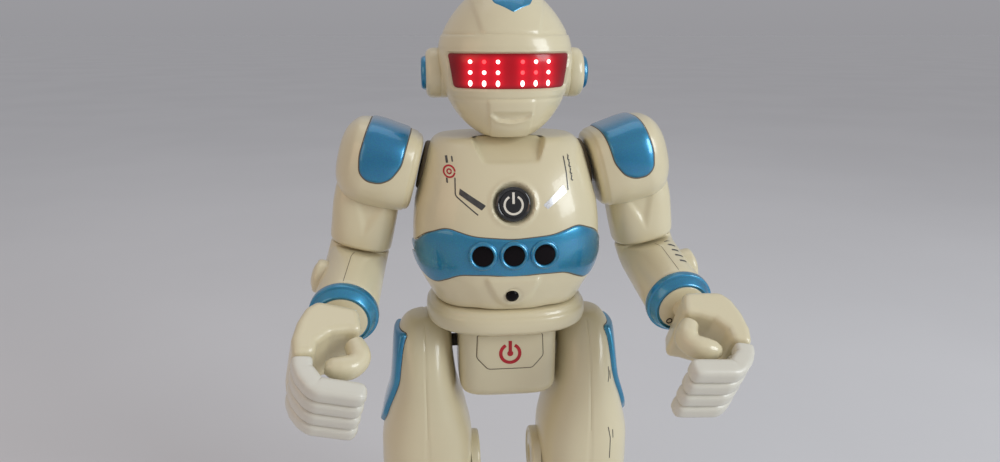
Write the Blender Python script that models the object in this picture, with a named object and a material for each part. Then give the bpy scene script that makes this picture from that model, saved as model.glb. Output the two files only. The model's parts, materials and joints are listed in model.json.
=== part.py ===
"""Educational coding robot: a small free-standing humanoid with turning head,
swinging arms, stepping legs and wheels in its boots.

Units in the tables below are millimetres; MM turns them into metres. +Z is up,
the robot faces -Y, and +X is the robot's own left side. Limbs are built on the
left side and mirrored for the right.
"""
import bpy
import bmesh
from math import copysign, cos, pi, radians, sin
from mathutils import Matrix, Vector

MM = 0.001
GAP = 0.3                # clearance between neighbouring pieces
WALL = 2.0               # moulded wall thickness
WELD = 0.005             # points closer than this are one point
FORM_POINTS = 18         # points round a form's outline
CHEST_POINTS = 22
ROUND_POINTS = 16        # points round a turned piece
ARM_POINTS = 18
SMALL_POINTS = 12
FRAME_SHIFT = (1.24, 26.24)  # puts the middle of the whole robot over the origin, in x and y

# Forms: rows of (height, centre x, half width, front y, back y, corner power)
CHEST_ROWS = (
    (153.2, 0, 27.6, -27.2, 22.0, 2.6),
    (158.0, 0, 29.8, -29.3, 24.0, 2.6),
    (165.0, 0, 33.2, -31.5, 25.5, 2.7),
    (172.5, 0, 35.2, -32.5, 26.3, 2.7),
    (181.0, 0, 35.0, -32.3, 26.5, 2.7),
    (189.5, 0, 34.2, -31.2, 26.3, 2.7),
    (197.5, 0, 32.2, -28.8, 25.0, 2.7),
    (204.5, 0, 30.4, -25.4, 22.5, 2.7),
    (210.0, 0, 28.6, -21.4, 19.0, 2.7),
    (213.2, 0, 26.2, -17.8, 16.0, 2.7),
    (214.2, 0, 23.8, -15.2, 13.5, 2.7),
)
SKIRT_ROWS = (
    (143.4, 0, 28.6, -28.2, 21.6, 2.6),
    (145.2, 0, 30.4, -30.0, 23.3, 2.6),
    (149.2, 0, 30.6, -30.2, 23.5, 2.6),
    (152.8, 0, 28.4, -28.0, 21.8, 2.6),
)
PELVIS_ROWS = (
    (114.5, 0, 15.6, -16.0, 10.0, 3.6),
    (115.6, 0, 17.6, -19.0, 12.5, 3.8),
    (119.0, 0, 18.7, -21.8, 14.5, 4.0),
    (130.0, 0, 19.0, -22.4, 17.0, 4.0),
    (143.0, 0, 19.0, -22.0, 17.0, 4.0),
)
HEAD_ROWS = (
    (214.5, 0, 7.6, -16.6, 3.6, 2.3),
    (217.0, 0, 12.2, -19.6, 8.0, 2.3),
    (221.5, 0, 17.2, -22.0, 13.2, 2.3),
    (227.5, 0, 21.0, -23.8, 17.8, 2.3),
    (234.0, 0, 23.6, -24.9, 20.8, 2.3),
    (241.0, 0, 24.6, -25.2, 22.6, 2.3),
    (248.0, 0, 23.4, -24.0, 22.6, 2.2),
    (254.5, 0, 20.4, -21.0, 20.8, 2.1),
    (260.5, 0, 15.9, -16.4, 16.9, 2.0),
    (265.3, 0, 10.4, -10.8, 11.3, 2.0),
    (268.2, 0, 4.9, -5.2, 5.6, 2.0),
    (269.0, 0, 1.6, -1.8, 1.9, 2.0),
)
THIGH_ROWS = (
    (78.6, 31.8, 18.2, -22.8, 17.2, 2.6),
    (92.0, 31.8, 18.1, -23.4, 17.6, 2.6),
    (105.0, 31.8, 15.8, -22.6, 17.2, 2.5),
    (118.0, 31.9, 12.3, -20.2, 16.0, 2.5),
    (128.0, 32.0, 11.2, -17.2, 14.8, 2.5),
    (136.0, 31.9, 10.6, -13.4, 12.8, 2.4),
    (141.0, 31.4, 8.8, -10.2, 9.6, 2.3),
    (143.8, 30.8, 5.8, -6.2, 5.8, 2.2),
)
SHIN_ROWS = (
    (32.0, 31.8, 14.6, -16.6, 15.0, 2.7),
    (44.0, 31.8, 14.8, -17.6, 15.0, 2.7),
    (56.0, 31.8, 16.0, -19.6, 15.6, 2.7),
    (68.0, 31.8, 17.6, -21.8, 16.6, 2.6),
    (78.2, 31.8, 18.2, -22.8, 17.2, 2.6),
)
BOOT_ROWS = (
    (2.4, 31.8, 18.0, -41.0, 24.0, 3.0),
    (5.0, 31.8, 19.0, -42.4, 25.0, 3.0),
    (12.0, 31.8, 19.0, -41.6, 24.6, 2.9),
    (19.0, 31.8, 17.8, -36.0, 22.4, 2.7),
    (25.0, 31.8, 16.0, -26.0, 19.4, 2.6),
    (31.0, 31.8, 14.4, -17.0, 16.4, 2.6),
    (43.0, 31.8, 13.6, -15.4, 14.6, 2.6),
)

# Head
HEAD_SPLIT_Y = 1.0
VISOR = ((-20.2, 231.8), (20.2, 231.8), (22.2, 244.2), (-22.2, 244.2))
EAR = (0.0, 236.4)                           # y, z of the drum's axis
EAR_RADIUS = 9.0
EAR_OUTER_X = 28.9
EAR_DISC_RADIUS = 6.2
NECK_RADIUS = 6.0
NECK_Z = (192.0, 224.0)

# Chest
CHEST_SPLIT_Y = 2.0
BUTTON_CENTRE = (0.0, -30.3, 193.3)
BUTTON_LEAN = radians(12)                    # the button faces slightly upwards
BUTTON_RADIUS = 6.2
SENSOR_X = (-10.8, 0.0, 10.8)
SENSOR_Z = 175.5
SENSOR_RADIUS = 3.7
IR_Z = 160.4
IR_RADIUS = 2.5
DOOR = ((-15.0, 164.5), (15.0, 164.5), (15.0, 200.5), (-15.0, 200.5))
SWITCH_X = -9.0
JACK_X = 9.0
REAR_PORT_Z = 158.6

# Shoulder: the swing axis leans up and outwards, square to the gap beside the chest
SHOULDER = (32.5, 0.0, 203.0)
SHOULDER_LEAN = radians(14.5)
PAD_ROWS = (                                 # along the axis: out, bottom, top, half depth, power
    (0.0, -16.6, 10.0, 15.0, 2.8),
    (2.6, -17.8, 11.4, 17.4, 3.0),
    (11.0, -18.6, 12.2, 18.8, 3.0),
    (18.0, -18.5, 12.8, 18.6, 3.0),
    (23.5, -17.4, 12.2, 16.8, 2.8),
    (27.0, -14.4, 9.4, 12.8, 2.5),
    (28.8, -10.6, 5.6, 8.4, 2.3),
    (29.4, -7.4, 2.2, 4.8, 2.1),
)
SHAFT_RADIUS = 6.0
ARM_AXIS_OUT = 14.4                          # upper arm's axis, measured along the shoulder axis
UPPER_ARM_TOP = -12.0
ELBOW_DROP = -35.2
UPPER_ARM_RADIUS = 11.9
SPIGOT_RADIUS = 5.0

# Forearm and hand
ELBOW_BEND = radians(75)
ELBOW_TURN_RADIUS = 8.0                      # of the centre line round the elbow
ELBOW_STEPS = 6
FOREARM_RADIUS = 11.2
ELBOW_CAP = (9.5, -16.5, -10.8)              # inner end of the cap on the forearm's outer side
ELBOW_CAP_RADIUS = 6.2
CUFF_START = 28.6                            # measured along the straight part of the forearm
FOREARM_END = 35.0
CUFF_RADIUS = 12.0
CUFF_BORE = 9.0
HAND_DROP = radians(13)                      # the hand hangs below the forearm's line
HAND_TURN = {"right": 0.0, "left": radians(-18)}     # how each hand is turned on its wrist at rest
HAND_HALF_THICKNESS = 12.4
PALM_OUTLINE = (                             # (out, along) points seen from the thumb side
    (-4.6, 3.2), (9.2, 3.2), (12.0, 7.0), (13.4, 13.0), (13.6, 20.0), (11.8, 26.4),
    (5.4, 24.0), (5.6, 19.6), (2.4, 15.2), (-2.4, 13.2), (-7.2, 12.2),
)
FINGER_PATH = ((8.7, 25.6), (8.0, 28.8), (6.0, 32.2), (2.4, 34.7), (-3.0, 35.2),
               (-7.8, 34.8), (-12.0, 34.1))
FINGER_DEPTH = 6.6
FINGER_COUNT = 4
THUMB_PATH = ((-5.3, 15.3), (-7.4, 18.2), (-8.0, 21.2), (-6.4, 23.9), (-3.0, 25.3), (1.8, 25.9))
THUMB_RADIUS = 3.6
THUMB_HEIGHT = 8.0                           # thumb's centre line above the hand's middle

# Legs
HIP_Z = 131.0
HIP_CLEAR_RADIUS = 15.9                      # room under the skirt for a swinging thigh
HIP_AXLE_RADIUS = 2.5
HIP_AXLE_HALF_LENGTH = 30.0
ANKLE_Z = 19.0
ANKLE_RADIUS = 22.0                          # the boot's rounded top, about the ankle axis
LEG_X = 31.8
KNEE_DISC = (-1.5, 78.4, 11.6)               # y, z, radius
KNEE_DISC_X = (10.6, 15.8)
WHEEL = (12.0, 9.5, 9.5, 5.0)                # y, z, radius, half width
WHEEL_AXLE_RADIUS = 1.6
PAD_Y = (-38.0, -6.0)                        # the skid pad under the toes
PAD_HALF_WIDTH = 14.0

CREAM = ((0.80, 0.76, 0.62), 0.28, 0.0)
BLUE = ((0.03, 0.22, 0.42), 0.25, 0.55)
BLACK = ((0.02, 0.02, 0.022), 0.35, 0.0)
RED_CLEAR = ((0.45, 0.01, 0.015), 0.15, 0.0)
GREEN_BOARD = ((0.03, 0.20, 0.08), 0.5, 0.0)
GREY = ((0.30, 0.31, 0.33), 0.5, 0.0)
STEEL = ((0.62, 0.62, 0.64), 0.3, 1.0)
TYRE = ((0.03, 0.03, 0.03), 0.8, 0.0)


# ------------------------------------------------------------------ mesh tools
def new_object(name, mesh):
    obj = bpy.data.objects.new(name, mesh)
    bpy.context.scene.collection.objects.link(obj)
    return obj


def loft(name, rings):
    """A closed solid through rings of points in mm, all with the same count."""
    bm = bmesh.new()
    rows = [[bm.verts.new(Vector(p) * MM) for p in ring] for ring in rings]
    count = len(rows[0])
    for low, high in zip(rows, rows[1:]):
        for i in range(count):
            j = (i + 1) % count
            bm.faces.new((low[i], low[j], high[j], high[i]))
    bm.faces.new(reversed(rows[0]))
    bm.faces.new(rows[-1])
    bmesh.ops.recalc_face_normals(bm, faces=bm.faces)
    mesh = bpy.data.meshes.new(name)
    bm.to_mesh(mesh)
    bm.free()
    return new_object(name, mesh)


def power_ring(count, power):
    """Unit rounded outline; the half-step keeps points off both symmetry planes."""
    ring = []
    for i in range(count):
        angle = 2 * pi * (i + 0.5) / count
        c, s = cos(angle), sin(angle)
        ring.append((copysign(abs(c) ** (2 / power), c), copysign(abs(s) ** (2 / power), s)))
    return ring


def form(rows, inset=0.0, count=FORM_POINTS):
    """A solid through table rows; inset moves its whole surface inwards by that many mm."""
    low, high = rows[0][0], rows[-1][0]
    middle = (low + high) / 2
    shrink = 1 - inset / ((high - low) / 2)
    rings = []
    for z, cx, half, front, back, power in rows:
        wide = max(half - inset, 0.5)
        deep = max((back - front) / 2 - inset, 0.5)
        cy = (front + back) / 2
        level = middle + (z - middle) * shrink
        rings.append([(cx + x * wide, cy + y * deep, level) for x, y in power_ring(count, power)])
    return loft("form", rings)


def prism(points, axis, start, end):
    """A flat outline pushed along an axis. Points are (x, z) for axis y, (y, z) for x, (x, y) for z."""
    place = {"x": lambda p, d: (d, p[0], p[1]),
             "y": lambda p, d: (p[0], d, p[1]),
             "z": lambda p, d: (p[0], p[1], d)}[axis]
    return loft("prism", [[place(p, start) for p in points], [place(p, end) for p in points]])


def block(low, high):
    outline = ((low[0], low[1]), (high[0], low[1]), (high[0], high[1]), (low[0], high[1]))
    return prism(outline, "z", low[2], high[2])


def turned(start, direction, profile, count=ROUND_POINTS):
    """A turned solid: profile rows are (distance along direction, radius)."""
    direction = Vector(direction).normalized()
    side = direction.orthogonal().normalized()
    other = direction.cross(side)
    rings = []
    for along, radius in profile:
        centre = Vector(start) + direction * along
        rings.append([centre + (side * cos(a) + other * sin(a)) * radius
                      for a in (2 * pi * i / count for i in range(count))])
    return loft("turned", rings)


def rod(start, direction, length, radius, count=ROUND_POINTS):
    return turned(start, direction, ((0, radius), (length, radius)), count)


def boolean(target, tool, operation):
    """Apply a Boolean at once and drop the tool."""
    modifier = target.modifiers.new("boolean", 'BOOLEAN')
    modifier.operation = operation
    modifier.object = tool
    bpy.context.view_layer.update()
    result = bpy.data.meshes.new_from_object(target.evaluated_get(bpy.context.evaluated_depsgraph_get()))
    target.modifiers.clear()
    target.data = result
    bpy.data.objects.remove(tool)
    weld(result)
    return target


def weld(mesh):
    """Close the hairline slits a Boolean can leave, and drop faces of no width."""
    bm = bmesh.new()
    bm.from_mesh(mesh)
    bmesh.ops.remove_doubles(bm, verts=bm.verts, dist=WELD * MM)
    bmesh.ops.dissolve_degenerate(bm, edges=bm.edges, dist=WELD * MM)
    loose = [face for face in bm.faces if all(len(edge.link_faces) == 1 for edge in face.edges)]
    bmesh.ops.delete(bm, geom=loose, context='FACES')
    bm.to_mesh(mesh)
    bm.free()


def cut(target, *tools):
    for tool in tools:
        boolean(target, tool, 'DIFFERENCE')
    return target


def keep(target, tool):
    return boolean(target, tool, 'INTERSECT')


def join(target, *tools):
    for tool in tools:
        boolean(target, tool, 'UNION')
    return target


def layer(rows, outer, inner, count=FORM_POINTS):
    """The skin of a form between two depths below its surface."""
    return cut(form(rows, outer, count), form(rows, inner, count))


def inlay(rows, region, outer, inner, count=FORM_POINTS):
    """A plate let into a form: its skin between two depths, inside a region."""
    return keep(layer(rows, outer, inner, count), region)


def grown(points, amount):
    """An outline with every side moved outwards by an amount, corners mitred."""
    count = len(points)
    area = sum(points[i][0] * points[(i + 1) % count][1] - points[(i + 1) % count][0] * points[i][1]
               for i in range(count))
    turn = copysign(1, area)
    result = []
    for i in range(count):
        corner = Vector(points[i])
        before = (corner - Vector(points[i - 1])).normalized()
        after = (Vector(points[(i + 1) % count]) - corner).normalized()
        first = Vector((before.y, -before.x)) * turn
        second = Vector((after.y, -after.x)) * turn
        away = (first + second) / (1 + first.dot(second))
        result.append(tuple(corner + away * amount))
    return result


def moved(obj, matrix):
    """Move a solid's mesh, given a matrix whose translation is in mm."""
    matrix = matrix.copy()
    matrix.translation = matrix.translation * MM
    obj.data.transform(matrix)
    return obj


# ------------------------------------------------------------------ naming and parenting
def finish(obj, name, look, pivot):
    """Name a piece, give it its material and hang it on the empty at its joint's axis."""
    colour, roughness, metallic = look
    obj.name = name
    obj.data.name = name
    material = bpy.data.materials.new(name)
    material.use_nodes = True
    shader = material.node_tree.nodes["Principled BSDF"]
    shader.inputs["Base Color"].default_value = (*colour, 1)
    shader.inputs["Roughness"].default_value = roughness
    shader.inputs["Metallic"].default_value = metallic
    obj.data.materials.clear()
    obj.data.materials.append(material)
    obj.data.transform(Matrix.Translation(-Vector(pivot["point"]) * MM))
    obj.parent = pivot["empty"]
    obj.data.shade_smooth()
    obj.data.set_sharp_from_angle(angle=radians(35))
    return obj


def new_pivot(name, point, parent=None):
    """An empty on a joint's axis; point is in mm before the frame shift."""
    empty = bpy.data.objects.new(name, None)
    bpy.context.scene.collection.objects.link(empty)
    origin = Vector((0, 0, 0))
    if parent:
        empty.parent = parent["empty"]
        origin = Vector(parent["point"])
    empty.location = (Vector(point) - origin) * MM
    return {"empty": empty, "point": tuple(point)}


def sided(obj, side):
    """Left pieces stay; right ones are mirrored across the robot's middle plane."""
    if side == "right":
        obj.data.transform(Matrix.Scale(-1, 4, (1, 0, 0)))
        obj.data.flip_normals()
    return obj


def sided_point(point, side):
    sign = -1 if side == "right" else 1
    return (sign * point[0], point[1], point[2])


# ------------------------------------------------------------------ head
def badge_outline(grow=0.0):
    return grown(((0, 256.4), (6.9, 259.4), (6.9, 275), (-6.9, 275), (-6.9, 259.4)), grow)


def neck_bore():
    return rod((0, 0, 205), (0, 0, 1), 19.5, NECK_RADIUS + GAP)


def badge_bed():
    return inlay(HEAD_ROWS, prism(badge_outline(GAP), "y", -30, 9.5 + GAP), -1.0, 1.2)


def build_head(pivot):
    everything = 60
    front = block((-everything, -everything, 200), (everything, HEAD_SPLIT_Y - GAP / 2, 280))
    rear = block((-everything, HEAD_SPLIT_Y + GAP / 2, 200), (everything, everything, 280))
    face = keep(layer(HEAD_ROWS, 0.0, WALL), front)
    cut(face, prism(grown(VISOR, GAP), "y", -30, -4.7), neck_bore(), badge_bed())
    finish(face, "face_shell", CREAM, pivot)
    back = keep(layer(HEAD_ROWS, 0.0, WALL), rear)
    cut(back, neck_bore(), badge_bed())
    finish(back, "head_back_shell", CREAM, pivot)
    visor = inlay(HEAD_ROWS, prism(VISOR, "y", -30, -5.0), 0.5, 1.9)
    finish(visor, "visor", RED_CLEAR, pivot)
    finish(block((-13, -16.6, 231), (13, -15.0, 243)), "led_board", GREEN_BOARD, pivot)
    badge = inlay(HEAD_ROWS, prism(badge_outline(), "y", -30, 9.5), -0.5, 0.9)
    finish(badge, "crest_badge", BLUE, pivot)
    for side in ("right", "left"):
        drum = turned((19.0, *EAR), (1, 0, 0), ((0, EAR_RADIUS), (8.6, EAR_RADIUS), (10.1, 8.8),
                                               (EAR_OUTER_X - 19.0, 8.0)))
        cut(drum, form(HEAD_ROWS, -GAP))
        cut(drum, rod((EAR_OUTER_X - 0.9, *EAR), (1, 0, 0), 5, EAR_DISC_RADIUS + GAP))
        finish(sided(drum, side), "ear_drum_" + side, CREAM, pivot)
        disc = turned((EAR_OUTER_X - 0.6, *EAR), (1, 0, 0), ((0, EAR_DISC_RADIUS), (2.0, EAR_DISC_RADIUS),
                                                            (3.2, 5.0)))
        finish(sided(disc, side), "ear_disc_" + side, BLUE, pivot)


# ------------------------------------------------------------------ torso
def band_outline(grow=0.0):
    right = ((9.0, 168.1), (19.0, 168.0), (28.0, 163.2), (33.6, 166.4), (37.4, 173.6), (31.0, 181.6),
             (23.4, 185.0), (14.0, 182.2))
    left = tuple((-x, z) for x, z in reversed(right))
    return grown(((0, 167.3), *right, (0, 181.1), *left), grow)


def button_axis():
    return Vector((0, cos(BUTTON_LEAN), -sin(BUTTON_LEAN)))


def collar_outline(grow=0.0):
    return grown(((-9.4, 206.6), (9.4, 206.6), (13.3, 215.0), (20.0, 230), (-20.0, 230), (-13.3, 215.0)), grow)


def chest_openings():
    """Every hole that passes through the chest's front and sides."""
    start = Vector(BUTTON_CENTRE) - button_axis() * 4
    tools = [rod(start, button_axis(), 16, BUTTON_RADIUS + GAP),
             rod((0, -36, IR_Z), (0, 1, 0), 16, IR_RADIUS + GAP, SMALL_POINTS),
             neck_bore()]
    tools += [rod((x, -36, SENSOR_Z), (0, 1, 0), 16, SENSOR_RADIUS + GAP, 20) for x in SENSOR_X]
    tools += [shoulder_bore(side) for side in ("right", "left")]
    return tools


def shoulder_bore(side):
    axis = Vector((cos(SHOULDER_LEAN), 0, sin(SHOULDER_LEAN)))
    start = Vector(SHOULDER) - axis * 11
    return sided(rod(start, axis, 14, SHAFT_RADIUS + GAP), side)


def build_torso(pivot):
    everything = 60
    front = block((-everything, -everything, 140), (everything, CHEST_SPLIT_Y - GAP / 2, 230))
    rear = block((-everything, CHEST_SPLIT_Y + GAP / 2, 140), (everything, everything, 230))
    shell = keep(layer(CHEST_ROWS, 0.0, WALL, CHEST_POINTS), front)
    cut(shell, inlay(CHEST_ROWS, prism(band_outline(GAP), "y", -40, -6.7), -1.0, 1.0, CHEST_POINTS))
    cut(shell, prism(collar_outline(), "y", -40, -9.0), *chest_openings())
    finish(shell, "chest_front_shell", CREAM, pivot)

    back = keep(layer(CHEST_ROWS, 0.0, WALL, CHEST_POINTS), rear)
    cut(back, prism(grown(DOOR, GAP), "y", 10, 40),
        block((SWITCH_X - 4.2, 10, REAR_PORT_Z - 1.8), (SWITCH_X + 4.2, 40, REAR_PORT_Z + 1.8)),
        rod((JACK_X, 10, REAR_PORT_Z), (0, 1, 0), 30, 2.9, SMALL_POINTS),
        neck_bore(), shoulder_bore("right"), shoulder_bore("left"))
    finish(back, "chest_back_shell", CREAM, pivot)

    band = inlay(CHEST_ROWS, prism(band_outline(), "y", -40, -7.0), -0.5, 0.7, CHEST_POINTS)
    cut(band, *[rod((x, -36, SENSOR_Z), (0, 1, 0), 16, SENSOR_RADIUS + GAP, 20) for x in SENSOR_X])
    finish(band, "chest_band", BLUE, pivot)

    for x, place in zip(SENSOR_X, ("right", "middle", "left")):
        recess = 0.55 if x == 0 else 1.15
        lens = turned((x, -32.3 + recess, SENSOR_Z), (0, 1, 0),
                      ((0, 3.0), (0.5, SENSOR_RADIUS), (6.5, SENSOR_RADIUS)), 20)
        finish(lens, "sensor_lens_" + place, BLACK, pivot)
    window = turned((0, -29.6, IR_Z), (0, 1, 0), ((0, 1.6), (0.8, IR_RADIUS), (6, IR_RADIUS)), SMALL_POINTS)
    finish(window, "ir_window", BLACK, pivot)

    collar = inlay(CHEST_ROWS, prism(collar_outline(1.4), "y", -40, -8.0), WALL + GAP, 2 * WALL, CHEST_POINTS)
    cut(collar, rod((0, 0, 200), (0, 0, 1), 20, NECK_RADIUS + GAP))
    finish(collar, "neck_collar", CREAM, pivot)
    low, high = NECK_Z
    post = turned((0, 0, low), (0, 0, 1), ((0, 8.5), (3, 8.5), (3.01, NECK_RADIUS), (high - low, NECK_RADIUS)))
    finish(post, "neck_post", GREY, pivot)

    door = inlay(CHEST_ROWS, prism(DOOR, "y", 10, 40), 0.0, WALL, CHEST_POINTS)
    finish(door, "battery_door", CREAM, pivot)
    finish(block((-13, 8, 163), (13, 21, 189)), "battery_pack", BLUE, pivot)
    finish(block((-24, -4.5, 160), (24, -3.0, 186)), "main_board", GREEN_BOARD, pivot)
    finish(turned((0, -22, 167), (0, 1, 0), ((0, 10.5), (3, 10.5), (6, 6.0), (9, 6.0)), 20),
           "speaker", BLACK, pivot)
    jack = rod((JACK_X, 17, REAR_PORT_Z), (0, 1, 0), 6.8, 2.6, SMALL_POINTS)
    cut(jack, rod((JACK_X, 20, REAR_PORT_Z), (0, 1, 0), 6, 1.2, 12))
    finish(jack, "charge_jack", BLACK, pivot)

    skirt = form(SKIRT_ROWS, 0.0, CHEST_POINTS)
    for side in ("right", "left"):
        cut(skirt, sided(rod((19.6, 0, HIP_Z), (1, 0, 0), 30, HIP_CLEAR_RADIUS, 32), side))
    finish(skirt, "waist_skirt", CREAM, pivot)
    pelvis = form(PELVIS_ROWS)
    shield = ((-12.2, 141.4), (12.2, 141.4), (12.6, 132.4), (8.4, 127.8), (-8.4, 127.8), (-12.6, 132.4))
    cut(pelvis, inlay(PELVIS_ROWS, prism(grown(shield, GAP), "y", -40, -10), -1.0, 1.8),
        rod((-30, 0, HIP_Z), (1, 0, 0), 60, HIP_AXLE_RADIUS + 0.1))
    finish(pelvis, "pelvis_shell", CREAM, pivot)
    finish(inlay(PELVIS_ROWS, prism(shield, "y", -40, -10), -0.3, 1.5), "pelvis_plate", CREAM, pivot)
    axle = rod((-HIP_AXLE_HALF_LENGTH, 0, HIP_Z), (1, 0, 0), 2 * HIP_AXLE_HALF_LENGTH, HIP_AXLE_RADIUS)
    finish(axle, "hip_axle", STEEL, pivot)


def build_controls(torso):
    face = Vector(BUTTON_CENTRE) - button_axis() * 0.5
    button = turned(face, button_axis(), ((0, 5.5), (0.5, BUTTON_RADIUS), (6, BUTTON_RADIUS)), ARM_POINTS)
    finish(button, "power_button", BLACK, new_pivot("button_slide", BUTTON_CENTRE, torso))
    place = (SWITCH_X - 1.5, 22.0, REAR_PORT_Z)
    x, y, z = place
    knob = block((x - 2.2, y - 3.0, z - 1.4), (x + 2.2, y + 3.2, z + 1.4))
    finish(knob, "power_switch", BLACK, new_pivot("switch_slide", place, torso))


# ------------------------------------------------------------------ arms
def pad_form(inset=0.0):
    """The shoulder pad, built along local x (out), with local z up and its axis through zero."""
    rings = []
    last = PAD_ROWS[-1][0]
    for out, bottom, top, half_depth, power in PAD_ROWS:
        middle = (bottom + top) / 2
        tall = max((top - bottom) / 2 - inset, 0.5)
        deep = max(half_depth - inset, 0.5)
        level = last / 2 + (out - last / 2) * (1 - inset / (last / 2))
        rings.append([(level, y * deep, middle + z * tall) for y, z in power_ring(FORM_POINTS, power)])
    return loft("pad", rings)


def arm_frame():
    lean = Matrix.Rotation(-SHOULDER_LEAN, 4, 'Y')
    return Matrix.Translation(Vector(SHOULDER)) @ lean


def forearm_frame():
    return arm_frame() @ Matrix.Translation(Vector((ARM_AXIS_OUT, 0, ELBOW_DROP)))


def forearm_line():
    """Where the forearm's straight part starts, and its direction."""
    turn = ELBOW_TURN_RADIUS
    start = Vector((0, -turn * (1 - cos(ELBOW_BEND)), -turn * sin(ELBOW_BEND)))
    return start, Vector((0, -sin(ELBOW_BEND), -cos(ELBOW_BEND)))


def wrist_frame():
    """Origin on the forearm's end face: y along the forearm, z to the little finger's side."""
    start, along = forearm_line()
    return (forearm_frame() @ Matrix.Translation(start + along * FOREARM_END)
            @ Matrix.Rotation(-(pi / 2 + ELBOW_BEND), 4, 'X'))


def upper_arm_form(grow=0.0):
    rows = ((UPPER_ARM_TOP + grow, 1.4, 12.2, 11.4, 3.0), (-19.0, 1.2, 12.2, 11.9, 3.0),
            (-28.0, 0.5, UPPER_ARM_RADIUS, 12.2, 2.8), (ELBOW_DROP + GAP, 0.0, 11.2, 11.4, 2.4))
    rings = [[(ARM_AXIS_OUT + shift + x * (half + grow), y * (deep + grow), z)
              for x, y in power_ring(FORM_POINTS, power)] for z, shift, half, deep, power in rows]
    return loft("upper_arm", rings)


def build_forearm():
    """One sweep: round at the seam, turned through the elbow with its inner side pinched flat,
    then straight to the cuff, where a narrower end carries the ring."""
    start, along = forearm_line()
    stations = []
    for step in range(ELBOW_STEPS + 1):
        angle = ELBOW_BEND * step / ELBOW_STEPS
        centre = Vector((0, -ELBOW_TURN_RADIUS * (1 - cos(angle)), -ELBOW_TURN_RADIUS * sin(angle)))
        radius = FOREARM_RADIUS - (0.5 if step == 0 else 0)
        stations.append((centre, angle, radius, ELBOW_TURN_RADIUS - 0.6))
    for distance, radius, pinch in ((3, FOREARM_RADIUS, 8.4), (8, FOREARM_RADIUS, 10.4),
                                    (14, FOREARM_RADIUS, 20), (CUFF_START, FOREARM_RADIUS, 20),
                                    (CUFF_START + 0.01, CUFF_BORE - GAP, 20),
                                    (FOREARM_END, CUFF_BORE - GAP, 20)):
        stations.append((start + along * distance, ELBOW_BEND, radius, pinch))
    rings = []
    for centre, angle, radius, pinch in stations:
        inner = Vector((0, -cos(angle), sin(angle)))
        ring = []
        for k in range(ARM_POINTS):
            a = 2 * pi * k / ARM_POINTS
            ring.append(centre + Vector((radius * cos(a), 0, 0)) + inner * min(radius * sin(a), pinch))
        rings.append(ring)
    forearm = loft("forearm", rings)
    join(forearm, rod((0, 0, 6), (0, 0, -1), 9, SPIGOT_RADIUS))
    return cut(forearm, rod(start + along * (FOREARM_END - 6), along, 10, 4.0))


def build_cuff():
    start, along = forearm_line()
    first, last = CUFF_START + GAP, FOREARM_END
    ring = turned(start, along, ((first, 11.4), (first + 0.8, CUFF_RADIUS), (last - 2.6, CUFF_RADIUS),
                                 (last, 10.2)), ARM_POINTS)
    return cut(ring, rod(start + along * 20, along, 30, CUFF_BORE, ARM_POINTS))


def build_palm():
    palm = prism(PALM_OUTLINE, "z", -HAND_HALF_THICKNESS, HAND_HALF_THICKNESS)
    soften(palm, 2.0)
    palm.data.transform(Matrix.Rotation(HAND_DROP, 4, 'X'))
    return join(palm, rod((0, 6, 0), (0, -1, 0), 11, 3.7))


def soften(obj, width):
    """Round a solid's edges."""
    modifier = obj.modifiers.new("bevel", 'BEVEL')
    modifier.width = width * MM
    modifier.segments = 2
    modifier.limit_method = 'ANGLE'
    modifier.angle_limit = radians(50)
    bpy.context.view_layer.update()
    result = bpy.data.meshes.new_from_object(obj.evaluated_get(bpy.context.evaluated_depsgraph_get()))
    obj.modifiers.clear()
    obj.data = result
    return obj


def build_fingers():
    """Four fingers side by side, curled inwards; one ring of points per step of their path."""
    pitch = 2 * HAND_HALF_THICKNESS / FINGER_COUNT
    rings = []
    last = len(FINGER_PATH) - 1
    for i, point in enumerate(FINGER_PATH):
        before = Vector(FINGER_PATH[max(i - 1, 0)])
        after = Vector(FINGER_PATH[min(i + 1, last)])
        tangent = (after - before).normalized()
        outward = Vector((tangent.y, -tangent.x))
        half = FINGER_DEPTH / 2 * (0.72 if i == last else 1)
        trim = 0.94 if i == last else 1
        ring = []
        for finger in range(FINGER_COUNT):
            base = -HAND_HALF_THICKNESS + finger * pitch
            for share, bulge in ((0.02, 0.55), (0.22, 0.92), (0.5, 1.0), (0.78, 0.92), (0.98, 0.55)):
                place = Vector(point) + outward * half * bulge
                ring.append((place.x, place.y, (base + share * pitch) * trim))
        for level in (1, -1):
            place = Vector(point) - outward * half * 0.9
            ring.append((place.x, place.y, level * HAND_HALF_THICKNESS * 0.93 * trim))
        rings.append(ring)
    return loft("fingers", rings)


def build_thumb():
    radii = [THUMB_RADIUS * k for k in (0.9, 1.0, 1.05, 1.0, 0.95, 0.6)]
    rings = []
    for i, point in enumerate(THUMB_PATH):
        before = Vector(THUMB_PATH[max(i - 1, 0)])
        after = Vector(THUMB_PATH[min(i + 1, len(THUMB_PATH) - 1)])
        tangent = (after - before).normalized()
        across = Vector((tangent.y, -tangent.x))
        rings.append([(point[0] + across.x * cos(a) * radii[i], point[1] + across.y * cos(a) * radii[i],
                       sin(a) * radii[i] * 1.15 - THUMB_HEIGHT)
                      for a in (2 * pi * k / 14 for k in range(14))])
    return loft("thumb", rings)


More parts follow.
